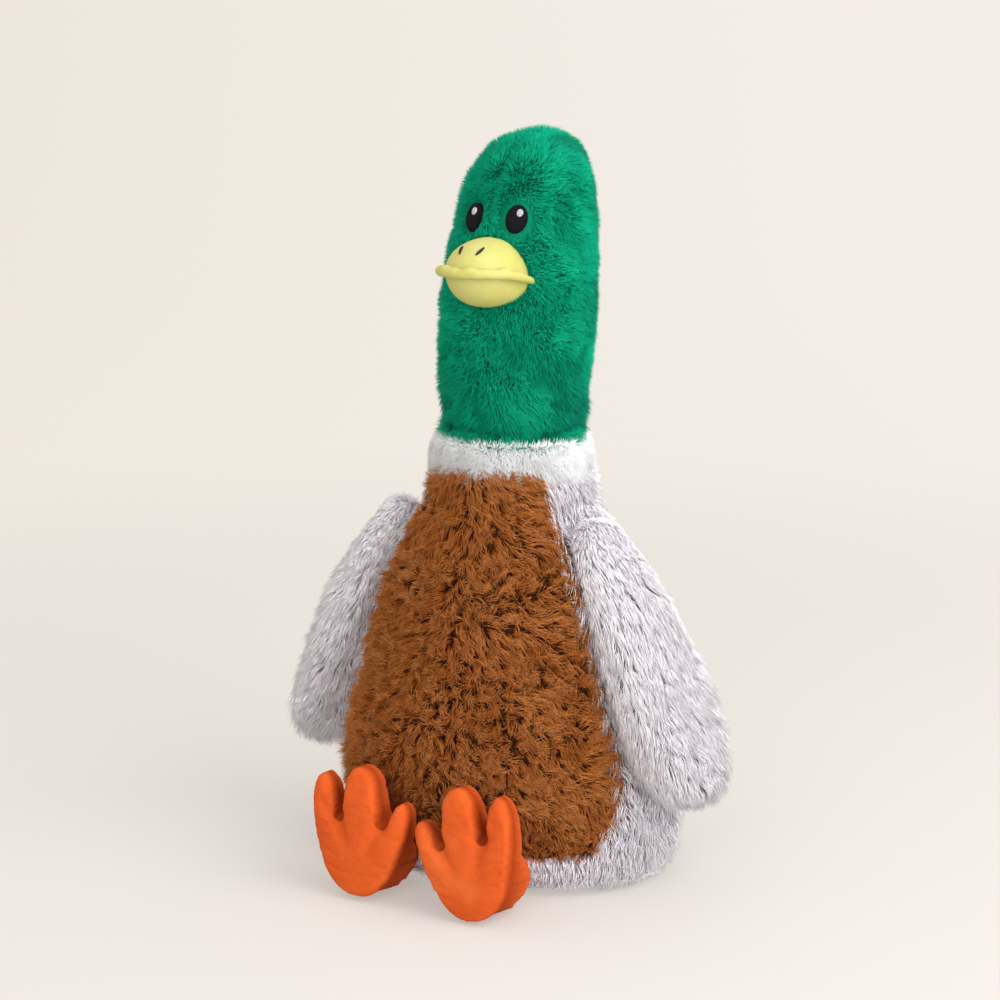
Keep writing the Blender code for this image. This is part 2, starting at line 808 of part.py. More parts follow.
def leg_surface(hip):
    """The leg as a tube that is round at the hip and at the ankle."""
    ankle = Vector((hip.x, ANKLE_LINE, ANKLE_HEIGHT))
    span = ankle - hip
    rows = [
        (-1.00, 0.0, 0.0),
        (-0.80, 0.60, 0.0),
        (-0.45, 0.893, 0.0),
        (0.00, 1.0, 0.0),
        (0.00, 1.0, 0.5),
        (0.00, 1.0, 1.0),
        (0.45, 0.893, 1.0),
        (0.80, 0.60, 1.0),
        (1.00, 0.0, 1.0),
    ]

    def surface(angle, row):
        reach, share, travel = along(rows, row)
        share = max(share, 0.0)
        wide = HIP_RADII[0] + (ANKLE_RADII[0] - HIP_RADII[0]) * travel
        tall = HIP_RADII[1] + (ANKLE_RADII[1] - HIP_RADII[1]) * travel
        a = math.radians(angle)
        middle = hip + span * travel + Vector((0, -reach * tall, 0))
        return middle + Vector(
            (wide * share * math.cos(a), 0.0, tall * share * math.sin(a))
        )

    return surface


def build_legs():
    orange, fibre = cloth("orange_velour", ORANGE_VELOUR), cloth("stuffing_fibre", FIBRE)
    middle = (0.0, FOOT_MIDDLE)
    poles = ((0, 1, 0), (0, -1, 0))
    for side, sign, hip, roll in (
        ("left", 1, LEFT_HIP, LEFT_FOOT_ROLL), ("right", -1, RIGHT_HIP, RIGHT_FOOT_ROLL)
    ):
        surface = leg_surface(hip)
        skin(
            side + "_leg", surface, lambda row: (0, 360), [1, 3, 4, 5, 6, 7, 8], 12, orange,
            THIN_CLOTH, top_pole=poles[1],
        )
        points, faces = form(
            surface, [0, 1, 3, 5, 7, 8], 10, -(THIN_CLOTH + GAP), poles[0], poles[1]
        )
        add_node(side + "_leg_stuffing", points, faces, fibre)
        place = foot_place(hip, sign, roll)
        sole = pillow_panel(
            side + "_foot_sole", FOOT_OUTLINE, middle, place, 1, FOOT_HALF_DEPTH, orange
        )
        upper = pillow_panel(
            side + "_foot_upper", FOOT_OUTLINE, middle, place, -1, FOOT_HALF_DEPTH, orange
        )
        core = pillow_core(
            side + "_foot_stuffing", FOOT_OUTLINE, middle, place, FOOT_HALF_DEPTH, fibre
        )
        points, faces = form(
            surface, [0, 1, 3, 4, 5, 6, 7, 8], 12, SOCKET_GAP, poles[0], poles[1]
        )
        room = cutter(side + "_ankle_room", points, faces, fibre)
        cut(upper, room)
        cut(core, room)
        cut(sole, room)


def build_tail():
    """A small pointed tail at the lower back."""
    grey, fibre = cloth("grey_pile", GREY_PILE), cloth("stuffing_fibre", FIBRE)
    rise = math.radians(TAIL_RISE)
    outline = both_sides(TAIL_OUTLINE)
    middle = (0.0, TAIL_MIDDLE)

    def place(u, n, v):
        back = v * math.cos(rise) - n * math.sin(rise)
        up = v * math.sin(rise) + n * math.cos(rise)
        return TAIL_ROOT + Vector((u, back, up))

    rows = list(range(0, 13))
    body_room = cutter("tail_room", *form(body_point, rows, 40, 0.0005), grey)
    depth = TAIL_HALF_DEPTH
    pieces = [
        pillow_panel("tail_upper", outline, middle, place, 1, depth, grey),
        pillow_panel("tail_lower", outline, middle, place, -1, depth, grey),
        pillow_core("tail_stuffing", outline, middle, place, depth, fibre),
    ]
    for piece in pieces:
        cut(piece, body_room)


def main():
    clear_scene()
    build_body()
    build_neck()
    build_head()
    build_wings()
    build_legs()
    build_tail()


main()
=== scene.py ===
import math

import bmesh
import bpy
import numpy as np
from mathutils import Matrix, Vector
from mathutils.geometry import delaunay_2d_cdt


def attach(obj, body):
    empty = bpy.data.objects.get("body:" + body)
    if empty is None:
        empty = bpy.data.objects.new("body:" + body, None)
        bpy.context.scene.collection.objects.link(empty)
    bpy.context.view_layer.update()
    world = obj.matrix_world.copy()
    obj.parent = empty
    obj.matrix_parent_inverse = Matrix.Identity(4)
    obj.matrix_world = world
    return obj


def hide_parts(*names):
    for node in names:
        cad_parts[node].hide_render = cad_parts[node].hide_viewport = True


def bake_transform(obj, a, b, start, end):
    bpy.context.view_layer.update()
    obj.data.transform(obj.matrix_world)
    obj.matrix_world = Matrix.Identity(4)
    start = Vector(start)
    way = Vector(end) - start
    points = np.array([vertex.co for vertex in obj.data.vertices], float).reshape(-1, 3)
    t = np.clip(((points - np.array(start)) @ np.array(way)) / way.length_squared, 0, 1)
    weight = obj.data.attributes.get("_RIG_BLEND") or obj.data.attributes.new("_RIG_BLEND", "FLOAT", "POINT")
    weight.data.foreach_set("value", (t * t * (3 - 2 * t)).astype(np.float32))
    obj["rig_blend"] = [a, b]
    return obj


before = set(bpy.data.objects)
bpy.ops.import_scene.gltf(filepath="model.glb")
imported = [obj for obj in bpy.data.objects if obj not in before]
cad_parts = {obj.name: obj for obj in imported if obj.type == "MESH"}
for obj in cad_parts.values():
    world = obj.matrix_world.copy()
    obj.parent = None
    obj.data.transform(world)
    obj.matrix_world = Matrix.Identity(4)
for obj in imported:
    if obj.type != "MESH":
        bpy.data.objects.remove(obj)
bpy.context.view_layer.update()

# Shapes shared with the solids, in metres
BODY_OUTLINE = np.array([
    (0.000, 0.000, 0.000), (0.000, 0.034, 0.028), (0.000, 0.053, 0.043),
    (0.0035, 0.0655, 0.052), (0.014, 0.0715, 0.0565), (0.038, 0.0735, 0.0585),
    (0.066, 0.0710, 0.0570), (0.094, 0.0640, 0.0520), (0.120, 0.0555, 0.0470),
    (0.143, 0.0448, 0.0410), (0.161, 0.0360, 0.0355), (0.1765, 0.0300, 0.0308),
    (0.179, 0.000, 0.000),
])
BASE_SEAM_ROW, BODY_TOP_ROW = 3.55, 11.0
NECK = Vector((0.0, 0.002, 0.188))
BALL = 0.0287
HEAD_OUTLINE = [
    (0.2040, 0.0020, 0.0287), (0.2160, 0.0025, 0.0296), (0.2400, 0.0050, 0.0302),
    (0.2580, 0.0085, 0.0300), (0.2760, 0.0120, 0.0289), (0.2900, 0.0150, 0.0268),
    (0.3020, 0.0185, 0.0232), (0.3110, 0.0225, 0.0175), (0.3170, 0.0258, 0.0100),
    (0.3195, 0.0275, 0.0000),
]
BEAK = Vector((0.0, -0.0185, 0.2636))
BEAK_RADII = (0.0175, 0.0218, 0.0130, 0.0160)
EYE_ANGLE, EYE_X, EYE_Z, EYE_HALF = 20.5, 0.0102, 0.2838, (0.0050, 0.0066)
WING_OUTLINE = [
    (0.0, 0.0), (0.0075, 0.0025), (0.0120, 0.0130), (0.0150, 0.0330), (0.0172, 0.0580),
    (0.0187, 0.0800), (0.0184, 0.0980), (0.0150, 0.1115), (0.0085, 0.1185), (0.0, 0.1200),
]
WING_LENGTH = 0.120
WING_DEPTH = 0.0086
WING_LEANS = {1: (29.0, 14.0), -1: (33.0, 12.0)}
HIP_X = {1: 0.0335, -1: -0.0262}
ANKLE_Z = 0.0120
FOOT_LINE = -0.0782
FOOT_ROLL = {1: 15.0, -1: 2.0}


def sides(sign):
    return "left" if sign > 0 else "right"


# Materials


def feed(tree, socket, value):
    """A socket takes a plain value, or a link where the value is another node's output."""
    if isinstance(value, bpy.types.NodeSocket):
        tree.links.new(value, socket)
    else:
        socket.default_value = value


def add_node(tree, kind, inputs=None, **settings):
    made = tree.nodes.new(kind)
    for key, value in settings.items():
        setattr(made, key, value)
    for key, value in (inputs or {}).items():
        feed(tree, made.inputs[key], value)
    return made


class Look:
    """Builds one node material, read from top to bottom."""

    def __init__(self, name):
        self.material = bpy.data.materials.new(name)
        self.material.use_nodes = True
        self.tree = self.material.node_tree
        self.shader = self.tree.nodes["Principled BSDF"]

    def node(self, kind, inputs=None, **settings):
        return add_node(self.tree, kind, inputs, **settings)

    def ramp(self, factor, stops, interpolation="LINEAR"):
        made = self.node("ShaderNodeValToRGB", {"Fac": factor})
        made.color_ramp.interpolation = interpolation
        points = made.color_ramp.elements
        while len(points) < len(stops):
            points.new(0.5)
        for point, (place, colour) in zip(points, stops):
            point.position = place
            point.color = (*colour, 1.0)
        return made.outputs["Color"]

    def mix(self, factor, a, b):
        made = self.node("ShaderNodeMix", {0: factor}, data_type="RGBA")
        for key, value in ((6, a), (7, b)):
            is_link = isinstance(value, bpy.types.NodeSocket)
            feed(self.tree, made.inputs[key], value if is_link else (*value, 1.0))
        return made.outputs[2]

    def math(self, operation, a, b=0.0):
        return self.node("ShaderNodeMath", {0: a, 1: b}, operation=operation).outputs[0]

    def noise(self, scale, detail=2.0, rough=0.5):
        place = self.node("ShaderNodeTexCoord").outputs["Object"]
        return self.node(
            "ShaderNodeTexNoise",
            {"Vector": place, "Scale": scale, "Detail": detail, "Roughness": rough},
        ).outputs["Fac"]

    def finish(self, colour, roughness=0.9, bump=None, strength=0.2, distance=0.0005, gloss=0.1):
        self.tree.links.new(colour, self.shader.inputs["Base Color"])
        self.shader.inputs["Roughness"].default_value = roughness
        self.shader.inputs["Specular IOR Level"].default_value = gloss
        if bump is not None:
            made = self.node(
                "ShaderNodeBump", {"Height": bump, "Strength": strength, "Distance": distance}
            )
            self.tree.links.new(made.outputs[0], self.shader.inputs["Normal"])
        return self.material


def pile_look(name, root, body, tip, pale):
    """Strands: the map's V runs from root to tip and its U is each strand's own tone. The darker root is
    painted shade deep in the pile, and the pale tips of the lighter strands are a painted highlight.
    """
    look = Look(name)
    place = look.node("ShaderNodeUVMap", uv_map="OFBake").outputs[0]
    apart = look.node("ShaderNodeSeparateXYZ", {0: place})
    tone, along = apart.outputs[0], apart.outputs[1]
    dark = look.ramp(along, [(0.0, root), (0.45, body), (1.0, tip)], "EASE")
    light = look.ramp(along, [(0.0, body), (0.5, tip), (1.0, pale)], "EASE")
    return look.finish(look.mix(tone, dark, light), 0.7, gloss=0.06)


def cloth_look(name, colour, darker):
    """Backing cloth that shows only between strands and under the base. Its colours are darker than the
    pile's roots: painted shade between the strands.
    """
    look = Look(name)
    weave = look.noise(900.0, 1.0)
    return look.finish(
        look.mix(look.math("MULTIPLY", weave, 0.8), colour, darker), 0.95, weave, 0.3, 0.0003
    )


def velour_look(name, colour, deep, pale):
    """Short brushed velour: soft lighter and darker strokes with a fine nap."""
    look = Look(name)
    stitched = look.node("ShaderNodeAttribute", attribute_name="seam").outputs["Fac"]
    strokes = look.noise(38.0, 3.0, 0.55)
    grain = look.noise(1500.0, 2.0, 0.7)
    fine = look.noise(430.0, 3.0, 0.7)
    tone = look.ramp(strokes, [(0.32, deep), (0.5, colour), (0.72, pale)])
    speck = look.mix(look.math("MULTIPLY", fine, 0.55), tone, pale)
    speck = look.mix(look.math("MULTIPLY", grain, 0.35), speck, deep)
    # The seam line is darkened: painted shade in the crease along the seam
    seam_painted_shade = tuple(c * 0.45 for c in deep)
    speck = look.mix(look.math("MULTIPLY", stitched, 0.75), speck, seam_painted_shade)
    nap = look.math("ADD", grain, look.math("MULTIPLY", fine, 0.8))
    return look.finish(speck, 0.92, nap, 0.6, 0.0005, gloss=0.04)


def thread_look(name, colour, pale, scale):
    """Satin stitches that run across the piece."""
    look = Look(name)
    place = look.node("ShaderNodeTexCoord").outputs["UV"]
    rows = look.node(
        "ShaderNodeTexWave",
        {"Vector": place, "Scale": scale, "Distortion": 1.2, "Detail": 2.0, "Detail Scale": 3.0},
        wave_type="BANDS",
        bands_direction="X",
    ).outputs["Fac"]
    return look.finish(look.mix(rows, colour, pale), 0.8, rows, 0.5, 0.0003, gloss=0.08)


# Pile colours go root, body, tip, pale: the dark root is painted shade deep in the pile, and pale is a
# painted highlight on the tips
GREEN = pile_look(
    "pile_green",
    (0.0, 0.095, 0.047), (0.0, 0.250, 0.132), (0.001, 0.405, 0.228), (0.012, 0.560, 0.345),
)
BROWN = pile_look(
    "pile_brown",
    (0.105, 0.024, 0.003), (0.240, 0.060, 0.008), (0.425, 0.140, 0.030), (0.64, 0.29, 0.11),
)
GREY = pile_look(
    "pile_grey", (0.72, 0.69, 0.74), (0.80, 0.77, 0.82), (0.83, 0.81, 0.86), (0.86, 0.85, 0.89)
)
WHITE = pile_look(
    "pile_white", (0.86, 0.88, 0.90), (0.87, 0.89, 0.91), (0.87, 0.89, 0.91), (0.88, 0.90, 0.92)
)
# Backing cloth colours, dark as painted shade between the strands; each pairs with a darker weave thread
GREEN_CLOTH = cloth_look("cloth_green", (0.0, 0.180, 0.095), (0.0, 0.100, 0.050))
BROWN_CLOTH = cloth_look("cloth_brown", (0.085, 0.034, 0.010), (0.045, 0.016, 0.005))
GREY_CLOTH = cloth_look("cloth_grey", (0.56, 0.53, 0.58), (0.44, 0.41, 0.46))
WHITE_CLOTH = cloth_look("cloth_white", (0.76, 0.78, 0.80), (0.64, 0.66, 0.70))
ORANGE = velour_look(
    "velour_orange", (0.55, 0.076, 0.011), (0.46, 0.052, 0.006), (0.66, 0.150, 0.042)
)
YELLOW = velour_look(
    "velour_yellow", (0.49, 0.465, 0.130), (0.43, 0.39, 0.080), (0.53, 0.51, 0.22)
)
BLACK = thread_look("thread_black", (0.002, 0.002, 0.003), (0.010, 0.010, 0.012), 30.0)
PALE = thread_look("thread_pale", (0.34, 0.35, 0.40), (0.46, 0.48, 0.53), 14.0)


# Meshes


def along(table, place):
    """A smooth curve through a table's rows, read at row numbers that may be fractions."""
    rows = np.asarray(table, float)
    place = np.asarray(place, float)
    last = len(rows) - 1
    low = np.minimum(place.astype(int), last - 1)
    s = (place - low)[..., None]
    a, b = rows[low], rows[low + 1]
    slope_a = (b - rows[np.maximum(low - 1, 0)]) / 2
    slope_b = (rows[np.minimum(low + 2, last)] - a) / 2
    return (
        a * (2 * s**3 - 3 * s**2 + 1) + slope_a * (s**3 - 2 * s**2 + s)
        + b * (3 * s**2 - 2 * s**3) + slope_b * (s**3 - s**2)
    )


def smooth(x, start, end):
    t = np.clip((np.asarray(x, float) - start) / (end - start), 0.0, 1.0)
    return t * t * (3 - 2 * t)


def ripple(points, size, seed, waves=6):
    """Smooth noise of about -1 to 1 at each point, made of plane waves of about a size."""
    random = np.random.default_rng(seed)
    total = np.zeros(len(points))
    for _ in range(waves):
        way = random.normal(size=3)
        way *= random.uniform(0.6, 1.5) * 2 * math.pi / size / np.linalg.norm(way)
        total += np.sin(points @ way + random.uniform(0, 6.28))
    return total / waves**0.5


def add_mesh(name, points, faces, materials):
    mesh = bpy.data.meshes.new(name)
    mesh.from_pydata([tuple(p) for p in points], [], faces)
    for material in materials:
        mesh.materials.append(material)
    work = bmesh.new()
    work.from_mesh(mesh)
    bmesh.ops.recalc_face_normals(work, faces=work.faces)
    work.to_mesh(mesh)
    work.free()
    mesh.shade_smooth()
    made = bpy.data.objects.new(name, mesh)
    bpy.context.scene.collection.objects.link(made)
    return made


def turned(surface, rows, columns):
    """Points, faces and each point's (angle, row) of a closed form with a pole at each end."""
    points, places, faces = [], [], []
    angles = np.arange(columns) * 360.0 / columns
    for i, row in enumerate(rows):
        here = angles if 0 < i < len(rows) - 1 else angles[:1]
        points.append(surface(here, np.full(len(here), row)))
        places += [(a, row) for a in here]
    starts = np.cumsum([0] + [len(p) for p in points])
    for i in range(len(rows) - 1):
        for j in range(columns):
            k = (j + 1) % columns
            if i == 0:
                faces.append((starts[0], starts[1] + k, starts[1] + j))
            elif i == len(rows) - 2:
                faces.append((starts[i] + j, starts[i] + k, starts[i + 1]))
            else:
                a, b = starts[i], starts[i + 1]
                faces.append((a + j, a + k, b + k, b + j))
    return np.vstack(points), [tuple(int(n) for n in f) for f in faces], np.array(places)


def coords(obj):
    found = np.empty(len(obj.data.vertices) * 3)
    obj.data.vertices.foreach_get("co", found)
    return found.reshape(-1, 3)


def normals(obj):
    found = np.empty(len(obj.data.vertices) * 3)
    obj.data.vertices.foreach_get("normal", found)
    return found.reshape(-1, 3)


def face_means(values, faces):
    return np.array([values[list(f)].mean(0) for f in faces])


def move_to(obj, points):
    obj.data.vertices.foreach_set("co", np.ascontiguousarray(points, float).ravel())
    obj.data.update()


def fall_off(distance, reach):
    """1 at a distance of nothing, then a soft bell that is nearly 0 past twice the reach."""
    return np.exp(-((distance / reach) ** 2))


def tangent(vectors, outward):
    """Vectors laid flat on the surface whose outward normals are given, at unit length."""
    flat = vectors - outward * (vectors * outward).sum(1)[:, None]
    return flat / np.maximum(np.linalg.norm(flat, axis=1), 1e-9)[:, None]


# Stuffed cloth


def puff(obj, held, pressure=14.0, slack=0.05, cap=0.0022, frames=20):
    """Blow the cloth out from its stitches with a cloth simulation, then keep the shape it took."""
    before = coords(obj)
    group = obj.vertex_groups.new(name="stitched")
    for index in np.nonzero(held)[0]:
        group.add([int(index)], 1.0, "REPLACE")
    modifier = obj.modifiers.new("puff", "CLOTH")
    modifier.settings.quality = 6
    modifier.settings.mass = 0.0004
    modifier.settings.air_damping = 3.0
    for key in ("tension_stiffness", "compression_stiffness", "shear_stiffness"):
        setattr(modifier.settings, key, 4.0)
    modifier.settings.bending_stiffness = 0.02
    modifier.settings.use_pressure = True
    modifier.settings.uniform_pressure_force = pressure
    modifier.settings.shrink_min = -slack
    modifier.settings.vertex_group_mass = "stitched"
    modifier.settings.effector_weights.gravity = 0.0
    modifier.collision_settings.use_collision = False
    modifier.point_cache.frame_end = frames
    scene = bpy.context.scene
    for frame_number in range(1, frames + 1):
        scene.frame_set(frame_number)
    graph = bpy.context.evaluated_depsgraph_get()
    shaped = obj.evaluated_get(graph)
    after = np.empty(len(before) * 3)
    shaped.data.vertices.foreach_get("co", after)
    moved = after.reshape(-1, 3) - before
    far = np.linalg.norm(moved, axis=1)
    moved *= (cap * np.tanh(far / cap) / np.maximum(far, 1e-9))[:, None]
    obj.modifiers.clear()
    obj.vertex_groups.clear()
    scene.frame_set(1)
    move_to(obj, before + moved)


# Pile


def pile_tree():
    """Geometry Nodes that plant tapered strands on a surface, combed and drawn into tufts."""
    tree = bpy.data.node_groups.new("pile", "GeometryNodeTree")
    face = tree.interface
    face.new_socket("Geometry", in_out="INPUT", socket_type="NodeSocketGeometry")
    face.new_socket("Geometry", in_out="OUTPUT", socket_type="NodeSocketGeometry")
    for name, kind in (
        ("Density", "Float"), ("Seed", "Int"), ("Joints", "Int"), ("Length", "Float"),
        ("Width", "Float"), ("Tuft size", "Float"), ("Tuft pull", "Float"), ("Tuft turn", "Float"),
        ("Stray", "Float"), ("Swirl", "Float"), ("Swirl size", "Float"), ("Patch", "Float"),
        ("Floor", "Float"), ("Look", "Material"),
    ):
        face.new_socket(name, in_out="INPUT", socket_type="NodeSocket" + kind)

    def node(kind, inputs=None, **settings):
        return add_node(tree, kind, inputs, **settings)

    def vec(operation, a, b=None):
        made = node("ShaderNodeVectorMath", {0: a}, operation=operation)
        if b is not None:
            feed(tree, made.inputs[1], b)
        return made.outputs["Value" if operation in ("DOT_PRODUCT", "LENGTH") else "Vector"]

    def times(vector, scale):
        made = node("ShaderNodeVectorMath", {0: vector}, operation="SCALE")
        feed(tree, made.inputs["Scale"], scale)
        return made.outputs["Vector"]

    def num(operation, a, b=0.0):
        return node("ShaderNodeMath", {0: a, 1: b}, operation=operation).outputs[0]

    def product(first, *others):
        for other in others:
            first = num("MULTIPLY", first, other)
        return first

    def stored(geometry, name, value, kind="FLOAT_VECTOR", domain="POINT"):
        made = node(
            "GeometryNodeStoreNamedAttribute", {"Geometry": geometry, "Name": name},
            data_type=kind, domain=domain,
        )
        socket = next(s for s in made.inputs if s.name == "Value" and s.enabled)
        feed(tree, socket, value)
        return made.outputs[0]

    def read(name, kind="FLOAT_VECTOR"):
        return node("GeometryNodeInputNamedAttribute", {"Name": name}, data_type=kind).outputs[0]

    def flat(vector, outward):
        return vec("SUBTRACT", vector, times(outward, vec("DOT_PRODUCT", vector, outward)))

    given = node("NodeGroupInput").outputs
    scatter = node(
        "GeometryNodeDistributePointsOnFaces",
        {"Mesh": given["Geometry"], "Density": given["Density"], "Seed": given["Seed"]},
        distribute_method="RANDOM",
    )
    points = stored(scatter.outputs["Points"], "out", scatter.outputs["Normal"])
    points = stored(points, "root", node("GeometryNodeInputPosition").outputs[0])
    shuffled = num("ADD", given["Seed"], 7.0)
    own = node("FunctionNodeRandomValue", {"Seed": shuffled}, data_type="FLOAT_VECTOR")
    own.inputs[0].default_value = (-1, -1, -1)
    own.inputs[1].default_value = (1, 1, 1)
    points = stored(points, "own", own.outputs[0])

    strand = node(
        "GeometryNodeMeshCone",
        {
            "Vertices": 3, "Side Segments": given["Joints"],
            "Radius Top": 0.0, "Radius Bottom": 1.0, "Depth": 1.0,
        },
        fill_type="NGON",
    ).outputs["Mesh"]
    strand = stored(strand, "local", node("GeometryNodeInputPosition").outputs[0])
    planted = node("GeometryNodeInstanceOnPoints", {"Points": points, "Instance": strand}).outputs[0]
    real = node("GeometryNodeRealizeInstances", {"Geometry": planted}).outputs[0]

    out, root, own, comb = read("out"), read("root"), read("own"), read("comb")
    local = node("ShaderNodeSeparateXYZ", {0: read("local")}).outputs
    apart = node("ShaderNodeSeparateXYZ", {0: own}).outputs
    t = local[2]
    t2 = num("MULTIPLY", t, t)
    tuft = node(
        "ShaderNodeTexVoronoi",
        {"Vector": root, "Scale": num("DIVIDE", 1.0, given["Tuft size"]), "Randomness": 1.0},
        feature="F1",
    )
    swirl = node(
        "ShaderNodeTexNoise",
        {"Vector": root, "Scale": num("DIVIDE", 1.0, given["Swirl size"]), "Detail": 1.0},
    ).outputs["Color"]
    centred = vec("SUBTRACT", swirl, (0.5, 0.5, 0.5))
    lean = vec("ADD", comb, times(centred, num("MULTIPLY", given["Swirl"], 3.0)))
    turn = vec("SUBTRACT", tuft.outputs["Color"], (0.5, 0.5, 0.5))
    lean = vec("ADD", lean, times(turn, num("MULTIPLY", given["Tuft turn"], 2.0)))
    lean = vec("ADD", lean, times(own, given["Stray"]))
    lean = flat(lean, out)
    strong = num("MINIMUM", vec("LENGTH", lean), 1.15)
    way = vec("NORMALIZE", vec("ADD", lean, (1e-5, 0.0, 1e-5)))
    reach = num("MULTIPLY", given["Length"], read("pile", "FLOAT"))
    reach = num("MULTIPLY", reach, num("ADD", 1.0, num("MULTIPLY", apart[0], 0.18)))

    # A strand rises out of the cloth, bends over the way it leans, and is drawn to its tuft
    rise = num("MULTIPLY", reach, num("SUBTRACT", t, product(strong, 0.55, t2)))
    drift = num("MULTIPLY", num("MULTIPLY", reach, 0.86), num("MULTIPLY", strong, t2))
    start = num("MULTIPLY", num("MULTIPLY", reach, 0.12), num("MULTIPLY", strong, t))
    drift = num("ADD", drift, start)
    place = vec("ADD", root, times(out, num("SUBTRACT", rise, 0.0004)))
    place = vec("ADD", place, times(way, drift))
    to_tuft = flat(vec("SUBTRACT", tuft.outputs["Position"], root), out)
    place = vec("ADD", place, times(to_tuft, num("MULTIPLY", given["Tuft pull"], t)))
    side = vec("NORMALIZE", vec("CROSS_PRODUCT", out, way))
    slope = vec(
        "ADD",
        times(out, num("SUBTRACT", 1.05, num("MULTIPLY", strong, t))),
        times(way, product(strong, 1.7, t)),
    )
    face_way = vec("NORMALIZE", vec("CROSS_PRODUCT", side, slope))
    ring = vec("ADD", times(side, local[0]), times(face_way, local[1]))
    place = vec("ADD", place, times(ring, given["Width"]))
    spot = node("ShaderNodeSeparateXYZ", {0: place}).outputs
    lowest = num("ADD", given["Floor"], num("MULTIPLY", local[0], 0.0001))
    grounded = node(
        "ShaderNodeCombineXYZ", {0: spot[0], 1: spot[1], 2: num("MAXIMUM", spot[2], lowest)}
    ).outputs[0]
    real = node("GeometryNodeSetPosition", {"Geometry": real, "Position": grounded}).outputs[0]

    # The map's U is the strand's tone and its V runs from root to tip
    # Patches of lighter and darker tone at random places: in part the pile's own uneven tone, in part
    # painted sheen where the nap catches the light
    patch = node("ShaderNodeTexNoise", {"Vector": root, "Scale": 55.0, "Detail": 2.0}).outputs["Fac"]
    patch = num("MULTIPLY", num("SUBTRACT", patch, 0.5), num("MULTIPLY", given["Patch"], 3.0))
    in_tuft = node("ShaderNodeSeparateXYZ", {0: tuft.outputs["Color"]}).outputs[2]
    tone = num("ADD", 0.42, num("MULTIPLY", apart[1], 0.22))
    tone = num("ADD", tone, num("MULTIPLY", num("SUBTRACT", in_tuft, 0.5), 0.35))
    tone = num("MINIMUM", num("MAXIMUM", num("ADD", tone, patch), 0.0), 1.0)
    tone = num("ADD", num("MULTIPLY", tone, 0.96), 0.02)
    across = num("ADD", local[0], num("MULTIPLY", local[1], 0.5))
    u = num("ADD", tone, num("MULTIPLY", across, 0.004))
    v = num("ADD", num("MULTIPLY", t, 0.96), 0.02)
    map_place = node("ShaderNodeCombineXYZ", {0: u, 1: v}).outputs[0]
    real = stored(real, "OFBake", map_place, "FLOAT2", "CORNER")
    real = node("GeometryNodeSetMaterial", {"Geometry": real, "Material": given["Look"]}).outputs[0]
    node("NodeGroupOutput", {"Geometry": real})
    return tree


PILE = pile_tree()


def grow(name, skin, chosen, look, count, joints, seed, body, comb, pile, **sizes):
    """Strands on the chosen faces of a skin, as one plain mesh that rides on a body.

    comb and pile give each point's lean and its share of the length.
    """
    points = coords(skin)
    kept = [tuple(p.vertices) for p, keep in zip(skin.data.polygons, chosen) if keep]
    used = sorted({v for f in kept for v in f})
    new = {v: i for i, v in enumerate(used)}
    bed = bpy.data.meshes.new(name + "_bed")
    bed.from_pydata([tuple(points[v]) for v in used], [], [tuple(new[v] for v in f) for f in kept])
    bed.shade_smooth()
    for key, kind, field, data in (
        ("comb", "FLOAT_VECTOR", "vector", comb), ("pile", "FLOAT", "value", pile),
    ):
        made = bed.attributes.new(key, kind, "POINT")
        made.data.foreach_set(field, np.ascontiguousarray(data[used], float).ravel())
    area = sum(p.area for p in bed.polygons)
    holder = bpy.data.objects.new(name, bed)
    bpy.context.scene.collection.objects.link(holder)
    modifier = holder.modifiers.new("pile", "NODES")
    modifier.node_group = PILE
    sockets = {s.name: s.identifier for s in PILE.interface.items_tree if s.in_out == "INPUT"}
    inputs = {
        "Density": count / area, "Seed": seed, "Joints": joints, "Stray": 0.15, "Swirl": 0.3,
        "Patch": 0.3, "Floor": 0.0005, "Look": look,
    }
    inputs.update((key.replace("_", " "), value) for key, value in sizes.items())
    for key, value in inputs.items():
        modifier[sockets[key]] = value
    graph = bpy.context.evaluated_depsgraph_get()
    mesh = bpy.data.meshes.new_from_object(holder.evaluated_get(graph), depsgraph=graph)
    holder.modifiers.clear()
    holder.data = mesh
    bpy.data.meshes.remove(bed)
    spent = {"out", "root", "own", "local", "comb", "pile", "UVMap"}
    for key in [a.name for a in mesh.attributes if a.name in spent]:
        mesh.attributes.remove(mesh.attributes[key])
    mesh.shade_smooth()
    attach(holder, body)


def grow_halves(name, skin, chosen, across, look, count, joints, seed, *given, **sizes):
    """One piece of pile for each side of the middle, because one would be too large."""
    for side, half, more in (("_left", across > 0, 0), ("_right", across < 0, 1)):
        grow(name + side, skin, chosen & half, look, count, joints, seed + more, *given, **sizes)


# Body


def body_surface(angle, row):
    height, wide, deep = along(BODY_OUTLINE, row).T
    a = np.radians(angle)
    lean = NECK.y * np.clip(height / NECK.z, 0, 1) ** 2
    return np.stack([wide * np.cos(a), deep * np.sin(a) + lean, np.maximum(height, 0.0)], 1)


def belly_half(row):
    share = np.clip((row - BASE_SEAM_ROW) / (BODY_TOP_ROW - BASE_SEAM_ROW), 0, 1)
    return 68.0 - 18.0 * share - 12.0 * (1 - smooth(row, 4.2, 5.3))


